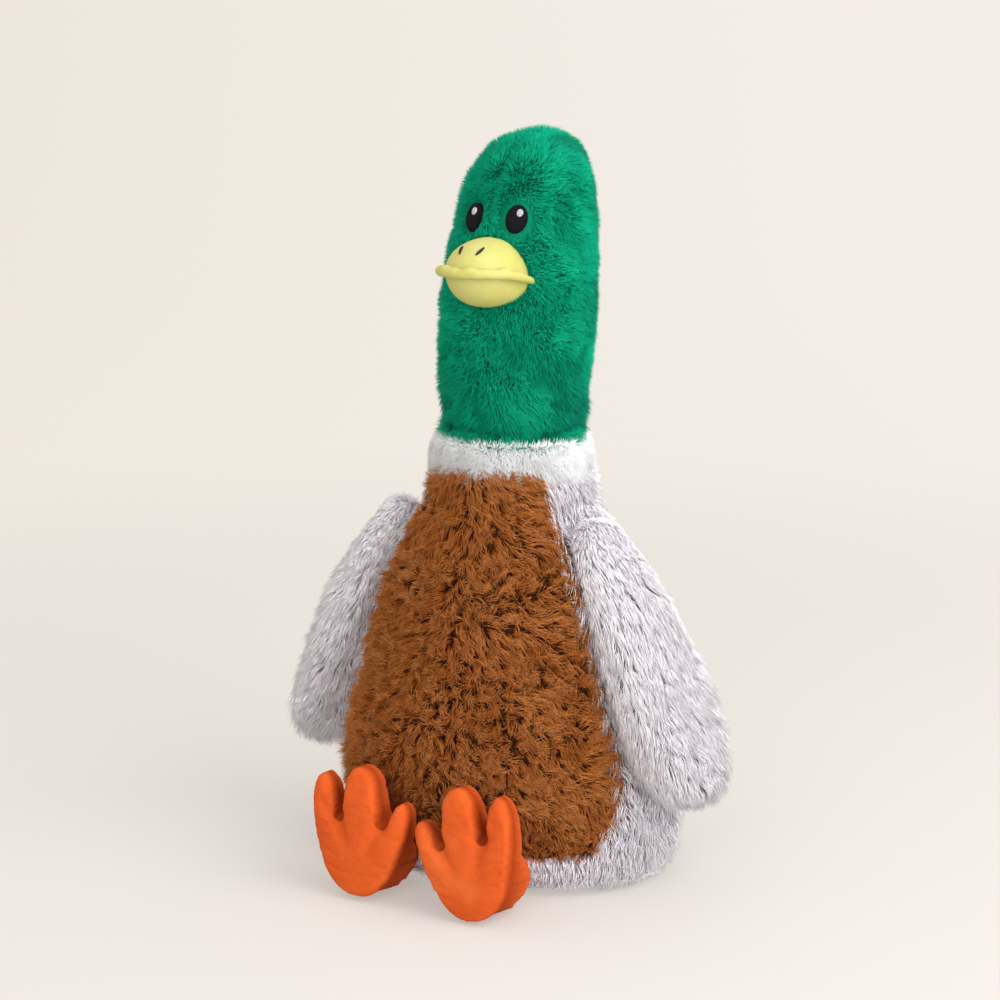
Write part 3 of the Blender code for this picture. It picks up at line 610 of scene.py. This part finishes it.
rows = np.concatenate(
    [[0.0], np.linspace(0.6, 3.0, 7), np.linspace(3.2, 11.0, 66), [11.35, 11.7, 12.0]]
)
points, faces, places = turned(body_surface, rows, 132)
off_front = np.abs((places[:, 0] + 90 + 180) % 360 - 180)
radius = np.maximum(np.hypot(points[:, 0], points[:, 1]), 0.02)
to_seam = (off_front - belly_half(places[:, 1])) * np.pi / 180 * radius
over_base = smooth(places[:, 1], 3.0, 3.5)
groove = fall_off(to_seam, 0.0022) * 0.0013 * over_base
groove += fall_off((180 - off_front) * 0.001, 0.0022) * 0.0010 * over_base
groove += fall_off(places[:, 1] - BASE_SEAM_ROW, 0.13) * 0.0012
torso = add_mesh("body_cushion", points, faces, [BROWN_CLOTH, GREY_CLOTH])
outward = normals(torso)
swell = ripple(points, 0.055, 3) * 0.0007 * over_base
points = points + outward * (swell - groove)[:, None]
points[:, 2] = np.maximum(points[:, 2], 0.0)
move_to(torso, points)
puff(torso, (groove > 0.0004) | (places[:, 1] < 3.3) | (places[:, 1] > 11.0), cap=0.0015)
points = coords(torso)
points[:, 2] = np.maximum(points[:, 2], 0.0)
move_to(torso, points)
outward = normals(torso)
middle_x = face_means(points[:, 0], faces)
middle_off = face_means(off_front, faces)
middle_row = face_means(places[:, 1], faces)
under_collar = middle_row < 11.2
belly_faces = (middle_off < belly_half(middle_row)) & (middle_row > BASE_SEAM_ROW + 0.75)
belly_faces &= under_collar
back_faces = ~belly_faces & (middle_row > 3.05) & under_collar
torso.data.polygons.foreach_set("material_index", np.where(belly_faces, 0, 1).astype(np.int32))

# The pile hangs down, turns outwards at the floor, and on the belly parts to both sides
down = tangent(np.tile((0.0, 0.0, -1.0), (len(points), 1)), outward)
around = np.stack([-outward[:, 1], outward[:, 0], np.zeros(len(points))], 1)
away = np.where(points[:, 0] > 0, 1.0, -1.0)[:, None] * around
level = outward * np.array([1.0, 1.0, 0.0])
at_floor = (1 - smooth(points[:, 2], 0.004, 0.016))[:, None]
down = tangent(down * (1 - at_floor) + level * at_floor, outward)
parting = smooth(points[:, 2], 0.020, 0.060) * np.clip(np.abs(points[:, 0] + 0.012) / 0.030, 0, 1)
at_top = smooth(points[:, 2], 0.125, 0.165)
belly_flow = tangent(down * 0.5 + away * parting[:, None] * 0.55, outward)
near_leg = np.zeros(len(points))
for x in HIP_X.values():
    off_leg = np.hypot(points[:, 0] - x, points[:, 2] - ANKLE_Z)
    near_leg = np.maximum(near_leg, fall_off(off_leg, 0.017) * (points[:, 1] < 0))
belly_length = 0.75 + 0.25 * smooth(places[:, 1], 4.0, 5.2)
back_length = 0.85 + 0.15 * smooth(places[:, 1], 3.2, 4.6)
grow_halves(
    "belly_pile", torso, belly_faces, middle_x, BROWN, 19000, 2, 11, "torso",
    belly_flow * (0.42 + 0.40 * at_top)[:, None],
    belly_length * (1 - 0.80 * near_leg) * (1 - 0.25 * at_top),
    Length=0.0096, Width=0.00032, Tuft_size=0.0027, Tuft_pull=0.42, Tuft_turn=0.60, Stray=0.22,
    Swirl=0.62, Swirl_size=0.018, Patch=0.40,
)
grow_halves(
    "back_pile", torso, back_faces, middle_x, GREY, 19000, 2, 21, "torso",
    down * 0.85, back_length * (1 - 0.75 * near_leg) * (1 - 0.35 * at_top),
    Length=0.0112, Width=0.00037, Tuft_size=0.0052, Tuft_pull=0.26, Tuft_turn=0.28, Stray=0.20,
    Swirl=0.50, Swirl_size=0.030, Patch=0.25,
)
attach(torso, "torso")
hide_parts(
    "belly_panel", "left_back_panel", "right_back_panel", "base_panel", "body_stuffing",
    "weight_pouch",
)


# Head


def head_rows():
    found = []
    for angle in (-90.0, -70.0, -50.0, -30.0, -10.0, 8.0, 18.0):
        a = math.radians(angle)
        found.append((NECK.z + BALL * math.sin(a), NECK.y, BALL * math.cos(a)))
    return found + HEAD_OUTLINE


HEAD_ROWS = np.array(head_rows())
HEAD_LAST = len(HEAD_ROWS) - 1


def head_surface(angle, row):
    height, middle, wide = along(HEAD_ROWS, row).T
    wide = np.maximum(wide, 0.0)
    a = np.radians(angle)
    return np.stack([wide * np.cos(a), middle + wide * np.sin(a), height], 1)


def head_row_at(height):
    tries = np.linspace(5.0, HEAD_LAST, 2000)
    return float(tries[np.argmin(np.abs(along(HEAD_ROWS, tries)[:, 0] - height))])


rows = np.concatenate([[0.0, 0.4], np.linspace(1.0, HEAD_LAST - 0.06, 82), [HEAD_LAST]])
points, faces, places = turned(head_surface, rows, 96)
head = add_mesh("head_cushion", points, faces, [GREEN_CLOTH])
groove = fall_off(points[:, 0], 0.0016) * 0.0007 * smooth(points[:, 2], 0.20, 0.21)
move_to(head, points + normals(head) * (ripple(points, 0.05, 5) * 0.0005 - groove)[:, None])
puff(head, (groove > 0.0003) | (points[:, 2] < 0.20), cap=0.0010)
points = coords(head)
outward = normals(head)

# Cloth left bare for the eyes, the beak and the joint at the neck
middles = face_means(points, faces)
bare = middles[:, 2] < 0.1915
for sign in (1, -1):
    angle = -90 + sign * EYE_ANGLE
    eye = head_surface(np.array([angle]), np.array([head_row_at(EYE_Z)]))[0]
    way = np.array([math.cos(math.radians(angle)), math.sin(math.radians(angle))])
    across = (middles[:, :2] - eye[:2]) @ np.array([-way[1], way[0]]) / (EYE_HALF[0] + 0.0020)
    above = (middles[:, 2] - EYE_Z) / (EYE_HALF[1] + 0.0016)
    in_front = (middles[:, :2] - eye[:2]) @ way > -0.01
    bare |= in_front & (across**2 + above**2 < 1)
beak_off = (middles - np.array(BEAK)) / np.array([BEAK_RADII[0] - 0.0005, BEAK_RADII[1], 0.0128])
bare |= (np.linalg.norm(beak_off, axis=1) < 1) & (middles[:, 1] < 0)

# The pile runs down the head, back over the crown and away from the beak
down = tangent(np.tile((0.0, 0.25, -1.0), (len(points), 1)), outward)
back = tangent(np.tile((0.0, 1.0, -0.1), (len(points), 1)), outward)
crown = smooth(points[:, 2], 0.296, 0.312)[:, None]
flow = tangent(down * (1 - crown) + back * crown, outward) * 0.5
from_beak = points - np.array(BEAK)
off_beak = np.linalg.norm(from_beak / np.array([0.0175, 0.022, 0.0145]), axis=1) - 1
near_beak = fall_off(np.maximum(off_beak, 0), 0.35)
flow = flow * (1 - 0.8 * near_beak)[:, None]
flow += tangent(from_beak, outward) * (0.45 * near_beak)[:, None]
length = 1.0 - 0.20 * near_beak
for x in (-EYE_X, EYE_X):
    off_eye = np.hypot((points[:, 0] - x) / 0.0062, (points[:, 2] - EYE_Z) / 0.0082)
    length *= 1 - 0.50 * fall_off(np.maximum(off_eye - 1, 0), 0.35) * (points[:, 1] < 0)
low_edge = smooth(points[:, 2], 0.222, 0.198)
length *= 1.0 + 0.60 * low_edge
flow *= (1 + 0.7 * low_edge)[:, None]
grow_halves(
    "head_pile", head, ~bare, middles[:, 0], GREEN, 48000, 1, 31, "head", flow, length,
    Length=0.0052, Width=0.00030, Tuft_size=0.0026, Tuft_pull=0.10, Tuft_turn=0.13, Stray=0.24,
    Swirl=0.70, Swirl_size=0.017, Patch=0.28, Floor=-1.0,
)
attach(head, "head")
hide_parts("head_skin_left", "head_skin_right", "head_stuffing")


# Beak and eyes


def droop(forward):
    return 0.0040 * ((forward + BEAK_RADII[1]) / BEAK_RADII[1]) ** 2


def keep_out_of_head(points, depth):
    """Points deeper in the head than a depth move forward to it, so the back of a piece is flat."""
    rows = np.interp(points[:, 2], HEAD_ROWS[5:, 0], np.arange(5, HEAD_LAST + 1))
    middle, wide = along(HEAD_ROWS, rows)[:, 1:].T
    across = np.minimum(np.abs(points[:, 0]), wide * 0.98)
    face = middle - np.sqrt(np.maximum(wide**2 - across**2, 0.0))
    found = points.copy()
    found[:, 1] = np.minimum(points[:, 1], face + depth)
    return found


def beak_half(up):
    """Surface of one cushion: a dome over the mouth's line and a shallow fold behind the lip."""

    def surface(angle, row):
        a, r = np.radians(angle), np.radians(row)
        tall = np.where(row > 0, BEAK_RADII[2] if up else BEAK_RADII[3], 0.0022)
        round_part = np.cos(r) ** np.where(row > 0, 0.86, 1.0)
        forward = BEAK_RADII[1] * np.sin(a) * round_part
        rise = tall * np.sin(r)
        rise = rise if up else -rise
        height = BEAK.z + rise - droop(forward) * np.cos(r) ** 2
        return np.stack([BEAK_RADII[0] * np.cos(a) * round_part, BEAK.y + forward, height], 1)

    return surface


rows = np.concatenate([[-90, -50, -25, -10], np.linspace(0, 90, 30)])
for name, up, nodes in (
    ("beak_top_cushion", True, ("beak_upper", "beak_stuffing")),
    ("beak_bottom_cushion", False, ("beak_lower",)),
):
    points, faces, places = turned(beak_half(up), rows, 72)
    points = keep_out_of_head(points, 0.0030)
    cushion = add_mesh(name, points, faces, [YELLOW])
    puff(cushion, places[:, 1] < 3.0, slack=0.01, cap=0.0005)
    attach(cushion, "head")
    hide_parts(*nodes)

arc_steps, ring_steps = 90, 16
points, faces = [], []
for i in range(arc_steps + 1):
    angle = math.radians(-196 + 212 * i / arc_steps)
    way = np.array([math.cos(angle), math.sin(angle)])
    centre = way * np.array([BEAK_RADII[0] + 0.0014, BEAK_RADII[1] + 0.0014])
    wobble = 0.00016 * math.sin(9 * angle + 1.0) + 0.00012 * math.sin(17 * angle)
    end = min(1.0, min(i, arc_steps - i) / 14.0) ** 0.6
    for j in range(ring_steps):
        b = 2 * math.pi * j / ring_steps
        flat = np.sign(math.cos(b)) * abs(math.cos(b)) ** 0.8 * 0.0029 * end
        thick = math.sin(b) * (0.0023 + wobble) * end
        spot = centre + way * flat
        points.append((spot[0], BEAK.y + spot[1], BEAK.z - droop(centre[1]) + thick + wobble * 1.2))
for i in range(arc_steps):
    a, b = i * ring_steps, (i + 1) * ring_steps
    for j in range(ring_steps):
        k = (j + 1) % ring_steps
        faces.append((a + j, a + k, b + k, b + j))
faces += [tuple(range(ring_steps)), tuple(arc_steps * ring_steps + j for j in range(ring_steps))]
lip = add_mesh("beak_lip_roll", points, faces, [YELLOW])
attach(lip, "head")
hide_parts("beak_lip")


def face_frame(angle, height):
    """A spot on the head's cloth with its directions across, up and out."""
    row = head_row_at(height)
    here = head_surface(np.array([angle]), np.array([row]))[0]
    a = math.radians(angle)
    across = np.array([-math.sin(a), math.cos(a), 0.0])
    up = head_surface(np.array([angle]), np.array([row + 0.05]))[0] - here
    up /= np.linalg.norm(up)
    return here, across, up, np.cross(across, up)


HEAD_CURVE = 0.029


def dome(name, spot, centre, half, base, top, material):
    """A low oval dome of stitches on the face, with a flat map for its thread lines."""
    here, across, up, out = spot
    rings, columns = 14, 48
    points, flat = [], []
    for low_side in (False, True):
        for i in range(rings + (0 if low_side else 1)):
            share = i / rings
            for j in range(columns):
                a = 2 * math.pi * j / columns
                x, y = half[0] * share * math.cos(a), half[1] * share * math.sin(a)
                lift = base if low_side else base + (top - base) * (1 - share**4) ** 0.5
                x_out, y_up = x + centre[0], y + centre[1]
                curve = x_out**2 / (2 * HEAD_CURVE)
                points.append(here + across * x_out + up * y_up + out * (lift - curve))
                flat.append((x / 0.01 + 0.5, y / 0.01 + 0.5))
    faces = []
    low_start = (rings + 1) * columns
    for i in range(rings):
        for j in range(columns):
            k = (j + 1) % columns
            a, b = i * columns, (i + 1) * columns
            faces.append((a + j, a + k, b + k, b + j))
            if i < rings - 1:
                a, b = low_start + a, low_start + b
                faces.append((a + j, b + j, b + k, a + k))
    low_rim, top_rim = low_start + (rings - 1) * columns, rings * columns
    for j in range(columns):
        k = (j + 1) % columns
        faces.append((low_rim + j, top_rim + j, top_rim + k, low_rim + k))
    made = add_mesh(name, points, faces, [material])
    work = bmesh.new()
    work.from_mesh(made.data)
    layer = work.loops.layers.uv.new("UVMap")
    for face in work.faces:
        for loop in face.loops:
            loop[layer].uv = flat[loop.vert.index]
    bmesh.ops.remove_doubles(work, verts=work.verts, dist=1e-6)
    bmesh.ops.recalc_face_normals(work, faces=work.faces)
    work.to_mesh(made.data)
    work.free()
    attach(made, "head")
    return made


for sign in (1, -1):
    side = sides(sign)
    spot = face_frame(-90 + sign * EYE_ANGLE, EYE_Z)
    eye = dome(side + "_eye_stitches", spot, (0.0, 0.0), EYE_HALF, 0.0006, 0.0037, BLACK)
    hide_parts("eye_" + side)
    glint = dome(side + "_eye_light", spot, (0.0014, 0.0022), (0.0015, 0.0019), 0.0030, 0.0040, PALE)
    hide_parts("eye_glint_" + side)


# Collar


COLLAR_RING, COLLAR_Z, COLLAR_HALF = 0.0308, 0.1795, (0.0030, 0.0098)


def collar_surface(angle, row):
    a, b = np.radians(angle), np.radians(row)
    ring = COLLAR_RING + COLLAR_HALF[0] * np.cos(b)
    height = COLLAR_Z + COLLAR_HALF[1] * np.sin(b)
    return np.stack([ring * np.cos(a), NECK.y + ring * np.sin(a), height], 1)


columns, sections = 96, 20
points, faces = [], []
angles = np.arange(columns) * 360.0 / columns
for j in range(sections):
    points.append(collar_surface(angles, np.full(columns, 360.0 * j / sections)))
    for i in range(columns):
        k, m = (i + 1) % columns, (j + 1) % sections
        faces.append((j * columns + i, j * columns + k, m * columns + k, m * columns + i))
points = np.vstack(points)
collar = add_mesh("collar_roll", points, faces, [WHITE_CLOTH])
outward = normals(collar)
middles = face_means(points, faces)
outside = np.hypot(middles[:, 0], middles[:, 1] - NECK.y) > 0.0288
radial = np.stack([points[:, 0], points[:, 1] - NECK.y, np.zeros(len(points))], 1) / COLLAR_RING
down = tangent(radial * 0.8 - np.array([0.0, 0.0, 1.0]), outward)
flattened = 1 - 0.45 * np.clip(outward[:, 0] * 0.87 + outward[:, 1] * 0.5, 0, 1)
flattened *= 1 - 0.30 * np.clip(outward[:, 2], 0, 1)
grow(
    "collar_pile", collar, outside, WHITE, 50000, 1, 41, "neck", down * 0.62, flattened,
    Length=0.0058, Width=0.00032, Tuft_size=0.0036, Tuft_pull=0.10, Tuft_turn=0.20, Stray=0.26,
    Swirl=0.32, Swirl_size=0.018, Patch=0.3,
)
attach(collar, "neck")
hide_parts("collar_band", "neck_stuffing")


# Puffed outlines


def close_curve(points, count):
    """An even closed loop of points along a smooth curve through the given corners."""
    rows = np.asarray(points, float)
    looped = np.vstack([rows[-2:], rows, rows[:3]])
    fine = along(looped, np.linspace(2, len(rows) + 2, 40 * len(rows), endpoint=False))
    step = np.linalg.norm(np.diff(np.vstack([fine, fine[:1]]), axis=0), axis=1)
    length = np.concatenate([[0.0], np.cumsum(step)])
    ends = np.vstack([fine, fine[:1]])
    want = np.linspace(0, length[-1], count, endpoint=False)
    return np.stack([np.interp(want, length, ends[:, i]) for i in range(2)], 1)


def inside(loop, spots):
    x, y = spots[:, 0], spots[:, 1]
    found = np.zeros(len(spots), bool)
    for (x1, y1), (x2, y2) in zip(loop, np.roll(loop, -1, axis=0)):
        crosses = (y1 > y) != (y2 > y)
        at = (x2 - x1) * (y - y1) / (y2 - y1 + 1e-15) + x1
        found ^= crosses & (x < at)
    return found


def edge_distance(loop, spots):
    best = np.full(len(spots), 1e9)
    for a, b in zip(loop, np.roll(loop, -1, axis=0)):
        way = b - a
        t = np.clip(((spots - a) @ way) / max(way @ way, 1e-15), 0, 1)
        best = np.minimum(best, np.linalg.norm(spots - a - t[:, None] * way, axis=1))
    return best


def sheet_of(loop, spacing):
    """Triangles that fill an outline: its own points first, then an even lattice inside."""
    low, high = loop.min(0), loop.max(0)
    ys = np.arange(low[1], high[1], spacing * 0.866)
    lattice = [
        (x + (i % 2) * spacing / 2, y)
        for i, y in enumerate(ys)
        for x in np.arange(low[0], high[0], spacing)
    ]
    lattice = np.array(lattice)
    lattice = lattice[inside(loop, lattice)]
    lattice = lattice[edge_distance(loop, lattice) > spacing * 0.55]
    spots = np.vstack([loop, lattice])
    found = delaunay_2d_cdt([Vector(p) for p in spots], [], [list(range(len(loop)))], 1, 1e-7)
    spots = np.array([tuple(p) for p in found[0]])
    return spots, [tuple(f) for f in found[2]], len(loop)


def swelling(spots, faces, edge):
    """How far a film blown up from a fixed edge stands above each point."""
    pairs = np.array([(f[i], f[(i + 1) % 3]) for f in faces for i in range(3)])
    pairs = np.unique(np.sort(pairs, axis=1), axis=0)
    a, b = pairs.T
    size = len(spots)
    weight = 1.0 / np.maximum(np.sum((spots[a] - spots[b]) ** 2, axis=1), 1e-12)
    total = np.bincount(a, weight, size) + np.bincount(b, weight, size)
    height = np.zeros(size)
    held = np.zeros(size, bool)
    held[:edge] = True
    for _ in range(1500):
        push = np.bincount(a, weight * height[b], size) + np.bincount(b, weight * height[a], size)
        new = (push + 3.0) / total
        new[held] = 0.0
        height = new
    return np.sqrt(2 * np.maximum(height, 0.0))


def mirrored(half):
    """A whole outline from one half of it, which starts and ends on the middle line."""
    return half + [(-a, b) for a, b in reversed(half[1:-1])]


def pillow(name, loop, spacing, depths, place, material, bump=None, crease=1.0, seam_at=0.0):
    """A closed cushion from an outline: a front and a back sheet that meet in a seam."""
    depth_front, depth_back = depths
    spots, triangles, edge = sheet_of(loop, spacing)
    height = swelling(spots, triangles, edge)
    front = seam_at + depth_front * np.tanh(height / depth_front) ** crease
    back = depth_back * np.tanh(height / depth_back) ** crease - seam_at
    if bump is not None:
        back = back + bump(spots) * np.tanh(height / 0.004)
    rest = np.arange(edge, len(spots))
    twin = {int(v): i + len(spots) for i, v in enumerate(rest)}
    points = np.vstack([
        np.stack([spots[:, 0], front, spots[:, 1]], 1),
        np.stack([spots[rest, 0], -back[rest], spots[rest, 1]], 1),
    ])
    faces = list(triangles) + [tuple(twin.get(v, v) for v in reversed(f)) for f in triangles]
    made = add_mesh(name, place(points), faces, [material])
    held = np.arange(len(points)) < edge
    return made, points, held


# Wings


def wing_place(sign):
    yaw, start = math.radians(24.0), math.radians(WING_LEANS[sign][0])
    curve = math.radians(WING_LEANS[sign][1] - WING_LEANS[sign][0]) / WING_LENGTH
    out = np.array([math.cos(yaw) * sign, -math.sin(yaw), 0.0])
    across = np.array([math.sin(yaw) * sign, math.cos(yaw), 0.0])
    shoulder = out * 0.0450 + across * 0.0080 + np.array([0, 0, 0.1570])
    up = np.array([0.0, 0.0, 1.0])

    def place(points):
        u, n, v = (points[:, i : i + 1] for i in range(3))
        tilt = start + curve * v
        reach = (math.cos(start) - np.cos(tilt)) / curve
        drop = (np.sin(tilt) - math.sin(start)) / curve
        away = out * np.cos(tilt) + up * np.sin(tilt)
        sideways = across * (u + v * math.tan(math.radians(10.0)))
        return shoulder + sideways + out * reach - up * drop + away * n

    return place


wing_loop = close_curve(mirrored(WING_OUTLINE), 150)
for sign in (1, -1):
    side = sides(sign)
    place = wing_place(sign)
    wing, flat_points, held = pillow(
        side + "_wing_cushion", wing_loop, 0.0022, (WING_DEPTH, WING_DEPTH * 0.95), place, GREY_CLOTH
    )
    puff(wing, held, slack=0.005, cap=0.0015)
    points, outward = coords(wing), normals(wing)
    to_tip = place(flat_points + np.array([0.0, 0.0, 0.002])) - points
    grow(
        side + "_wing_pile", wing, np.ones(len(wing.data.polygons), bool), GREY, 19000, 2,
        50 + sign, side + "_wing", tangent(to_tip, outward) * 0.92,
        0.42 + 0.58 * smooth(flat_points[:, 2], 0.0, 0.055),
        Length=0.0112, Width=0.00036, Tuft_size=0.0048, Tuft_pull=0.24, Tuft_turn=0.26, Stray=0.16,
        Swirl=0.38, Swirl_size=0.030, Patch=0.25,
    )
    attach(wing, side + "_wing")
    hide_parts(side + "_wing_outer", side + "_wing_inner", side + "_wing_stuffing")


# Tail

TAIL_OUTLINE = [
    (0.0, -0.006), (0.0150, -0.004), (0.0175, 0.006), (0.0130, 0.018), (0.0060, 0.026),
    (0.0, 0.0285),
]


def tail_place(points):
    rise = math.radians(32.0)
    back = points[:, 2] * math.cos(rise) - points[:, 1] * math.sin(rise)
    up = points[:, 2] * math.sin(rise) + points[:, 1] * math.cos(rise)
    return np.stack([points[:, 0], 0.0590 + back, 0.0300 + up], 1)


tail_loop = close_curve(mirrored(TAIL_OUTLINE), 60)
tail, _, held = pillow("tail_cushion", tail_loop, 0.0022, (0.0072, 0.0072), tail_place, GREY_CLOTH)
puff(tail, held)
points, outward = coords(tail), normals(tail)
flow = tangent(np.tile((0.0, 1.0, 0.35), (len(points), 1)), outward) * 0.8
grow(
    "tail_pile", tail, np.ones(len(tail.data.polygons), bool), GREY, 6500, 2, 61, "torso",
    flow, np.ones(len(points)),
    Length=0.0095, Width=0.00036, Tuft_size=0.005, Tuft_pull=0.16, Tuft_turn=0.2, Swirl_size=0.03,
)
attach(tail, "torso")
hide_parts("tail_upper", "tail_lower", "tail_stuffing")


# Feet

FOOT_OUTLINE = [
    (0.0000, 0.0000), (0.0085, 0.0022), (0.0150, 0.0085), (0.0195, 0.0180), (0.0232, 0.0290),
    (0.0252, 0.0400), (0.0242, 0.0480), (0.0200, 0.0515), (0.0150, 0.0475), (0.0122, 0.0400),
    (0.0106, 0.0345), (0.0098, 0.0405), (0.0090, 0.0505), (0.0048, 0.0565), (-0.0012, 0.0565),
    (-0.0062, 0.0515), (-0.0084, 0.0425), (-0.0104, 0.0345), (-0.0130, 0.0395), (-0.0160, 0.0440),
    (-0.0200, 0.0450), (-0.0230, 0.0410), (-0.0228, 0.0320), (-0.0198, 0.0210), (-0.0150, 0.0095),
    (-0.0085, 0.0022),
]


FOOT_LIFT = 0.0004


def foot_place(sign):
    lean, turn = math.radians(4.0), math.radians(FOOT_ROLL[sign])

    def place(points):
        u = points[:, 0] * math.cos(turn) - points[:, 2] * math.sin(turn)
        v = points[:, 0] * math.sin(turn) + points[:, 2] * math.cos(turn)
        n = points[:, 1]
        forward = n * math.cos(lean) - (v - ANKLE_Z) * math.sin(lean)
        up = v * math.cos(lean) + n * math.sin(lean) + 0.0008
        return np.stack([HIP_X[sign] + u * sign, FOOT_LINE - forward, np.maximum(up, FOOT_LIFT)], 1)

    return place


def leg_bump(spots):
    """The leg as a cone on the back of the foot: it narrows from the heel to the hip."""
    reach = np.hypot(spots[:, 0] / 0.0235, (spots[:, 1] - 0.0125) / 0.0195)
    return 0.0215 * np.clip((1 - reach) / 0.72, 0, 1) ** 0.9


def toe_creases(flat_points):
    """How deep the sole folds at each point, along a crease from between two toes to the heel."""
    depth = np.zeros(len(flat_points))
    spots = flat_points[:, [0, 2]]
    for between in (np.array([0.0106, 0.0345]), np.array([-0.0104, 0.0345])):
        way = (np.array([0.0, 0.0100]) - between) * 0.62
        t = np.clip((spots - between) @ way / (way @ way), 0, 1)
        away = np.linalg.norm(spots - between - t[:, None] * way, axis=1)
        depth = np.maximum(depth, 0.0030 * (1 - t) ** 0.8 * fall_off(away, 0.0030))
    return depth * smooth(flat_points[:, 1], 0.0040, 0.0060)


foot_loop = close_curve(FOOT_OUTLINE, 230)
for sign in (1, -1):
    side = sides(sign)
    foot, flat_points, held = pillow(
        side + "_foot_cushion", foot_loop, 0.0010, (0.0074, 0.0115), foot_place(sign), ORANGE,
        leg_bump, crease=1.15, seam_at=0.0036,
    )
    held |= flat_points[:, 1] < -0.012
    puff(foot, held, pressure=30.0, slack=0.04, cap=0.0009)
    seam = fall_off(edge_distance(foot_loop, flat_points[:, [0, 2]]), 0.0008)
    seam *= 1 - smooth(-flat_points[:, 1], 0.004, 0.008)
    points = coords(foot) - normals(foot) * (0.0011 * seam + toe_creases(flat_points))[:, None]
    points[:, 2] = np.maximum(points[:, 2], FOOT_LIFT)
    move_to(foot, points)
    # The seam value also darkens the velour there: painted shade in the seam's crease
    marked = foot.data.attributes.new("seam", "FLOAT", "POINT")
    marked.data.foreach_set("value", seam)
    ankle_start, ankle_end = ((HIP_X[sign], y, ANKLE_Z) for y in (-0.0680, -0.0610))
    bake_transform(foot, side + "_foot", side + "_shank", ankle_start, ankle_end)
    nodes = ("_foot_sole", "_foot_upper", "_foot_stuffing", "_leg", "_leg_stuffing")
    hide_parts(*(side + node for node in nodes))


# Set

FLOOR_COLOUR = (0.570, 0.548, 0.530)
CAMERA_TURN, CAMERA_DOWN = math.radians(30.0), math.radians(11.6)
CAMERA_FAR, CAMERA_HIGH, CAMERA_SIDE = 1.02, 0.37, -0.005
right = Vector((math.cos(CAMERA_TURN), math.sin(CAMERA_TURN), 0.0))
ahead = Vector((-math.sin(CAMERA_TURN), math.cos(CAMERA_TURN), 0.0))
rise = np.radians(range(0, 91, 6))
bowl = np.vstack([
    [(0.0, 0.0), (0.5, 0.0), (1.2, 0.0)],
    np.stack([1.9 + 1.2 * np.sin(rise), 1.2 - 1.2 * np.cos(rise)], 1),
    [(3.1, 4.0), (3.1, 4.1)],
])


def bowl_surface(angle, row):
    far, up = bowl[row.astype(int)].T
    a = np.radians(angle)
    return np.stack([far * np.cos(a), far * np.sin(a), up], 1)


points, faces, _ = turned(bowl_surface, np.arange(len(bowl)), 96)
faces = [f for f in faces if len(f) == 4 or 0 in f]
backdrop = add_mesh("backdrop", points, faces, [])
# The backdrop glows, which is painted light: near the object its floor is part glow, painting fill light
# into the shadows there, and the glow is darker towards the camera's left, a painted shade across it
ground = Look("backdrop_look")
place = ground.node("ShaderNodeTexCoord").outputs["Object"]
apart = ground.node("ShaderNodeVectorMath", {0: place}, operation="LENGTH").outputs["Value"]
far_off = ground.node(
    "ShaderNodeMapRange", {0: apart, 1: 0.30, 2: 1.05, 3: 0.42}, interpolation_type="SMOOTHSTEP"
).outputs[0]
sideways = ground.node(
    "ShaderNodeVectorMath", {0: place, 1: tuple(right)}, operation="DOT_PRODUCT"
).outputs["Value"]
shade = ground.node("ShaderNodeMapRange", {0: sideways, 1: -0.8, 2: 0.5}).outputs[0]
glow = ground.mix(shade, (0.850, 0.794, 0.718), (0.915, 0.856, 0.795))
albedo = ground.mix(far_off, FLOOR_COLOUR, (0.0, 0.0, 0.0))
ground.tree.links.new(albedo, ground.shader.inputs["Base Color"])
ground.tree.links.new(glow, ground.shader.inputs["Emission Color"])
ground.tree.links.new(far_off, ground.shader.inputs["Emission Strength"])
ground.shader.inputs["Roughness"].default_value = 1.0
ground.shader.inputs["Specular IOR Level"].default_value = 0.0
backdrop.data.materials.append(ground.material)

world = bpy.data.worlds.new("surround")
bpy.context.scene.world = world
world.use_nodes = True
light = world.node_tree.nodes["Background"]
light.inputs[0].default_value = (0.97, 0.985, 1.0, 1.0)
light.inputs[1].default_value = 1.33


def lamp(name, sideways, near, height, size, power, colour=(1.0, 1.0, 1.0)):
    """A soft round lamp, placed to the camera's right, towards the camera, and up."""
    data = bpy.data.lights.new(name, "AREA")
    data.shape = "DISK"
    data.size = size
    data.energy = power
    data.color = colour
    made = bpy.data.objects.new(name, data)
    made.location = right * sideways - ahead * near + Vector((0, 0, height))
    made.rotation_euler = (Vector((0, 0, 0.15)) - made.location).to_track_quat("-Z", "Y").to_euler()
    bpy.context.scene.collection.objects.link(made)


lamp("key", 1.00, 0.70, 1.15, 1.4, 19.0, (1.0, 0.99, 0.97))
lamp("front", -0.55, 1.60, 0.80, 1.2, 11.0)
lamp("low", 0.75, 1.10, 0.14, 0.8, 10.0)

lens = bpy.data.cameras.new("camera")
lens.sensor_width = 36.0
lens.lens = 85.8
lens.clip_start = 0.01
lens.clip_end = 50.0
camera = bpy.data.objects.new("camera", lens)
camera.location = right * CAMERA_SIDE - ahead * CAMERA_FAR + Vector((0, 0, CAMERA_HIGH))
camera.rotation_euler = (math.radians(90.0) - CAMERA_DOWN, 0.0, CAMERA_TURN)
bpy.context.scene.collection.objects.link(camera)
bpy.context.scene.camera = camera
bpy.context.scene.view_settings.view_transform = "Standard"
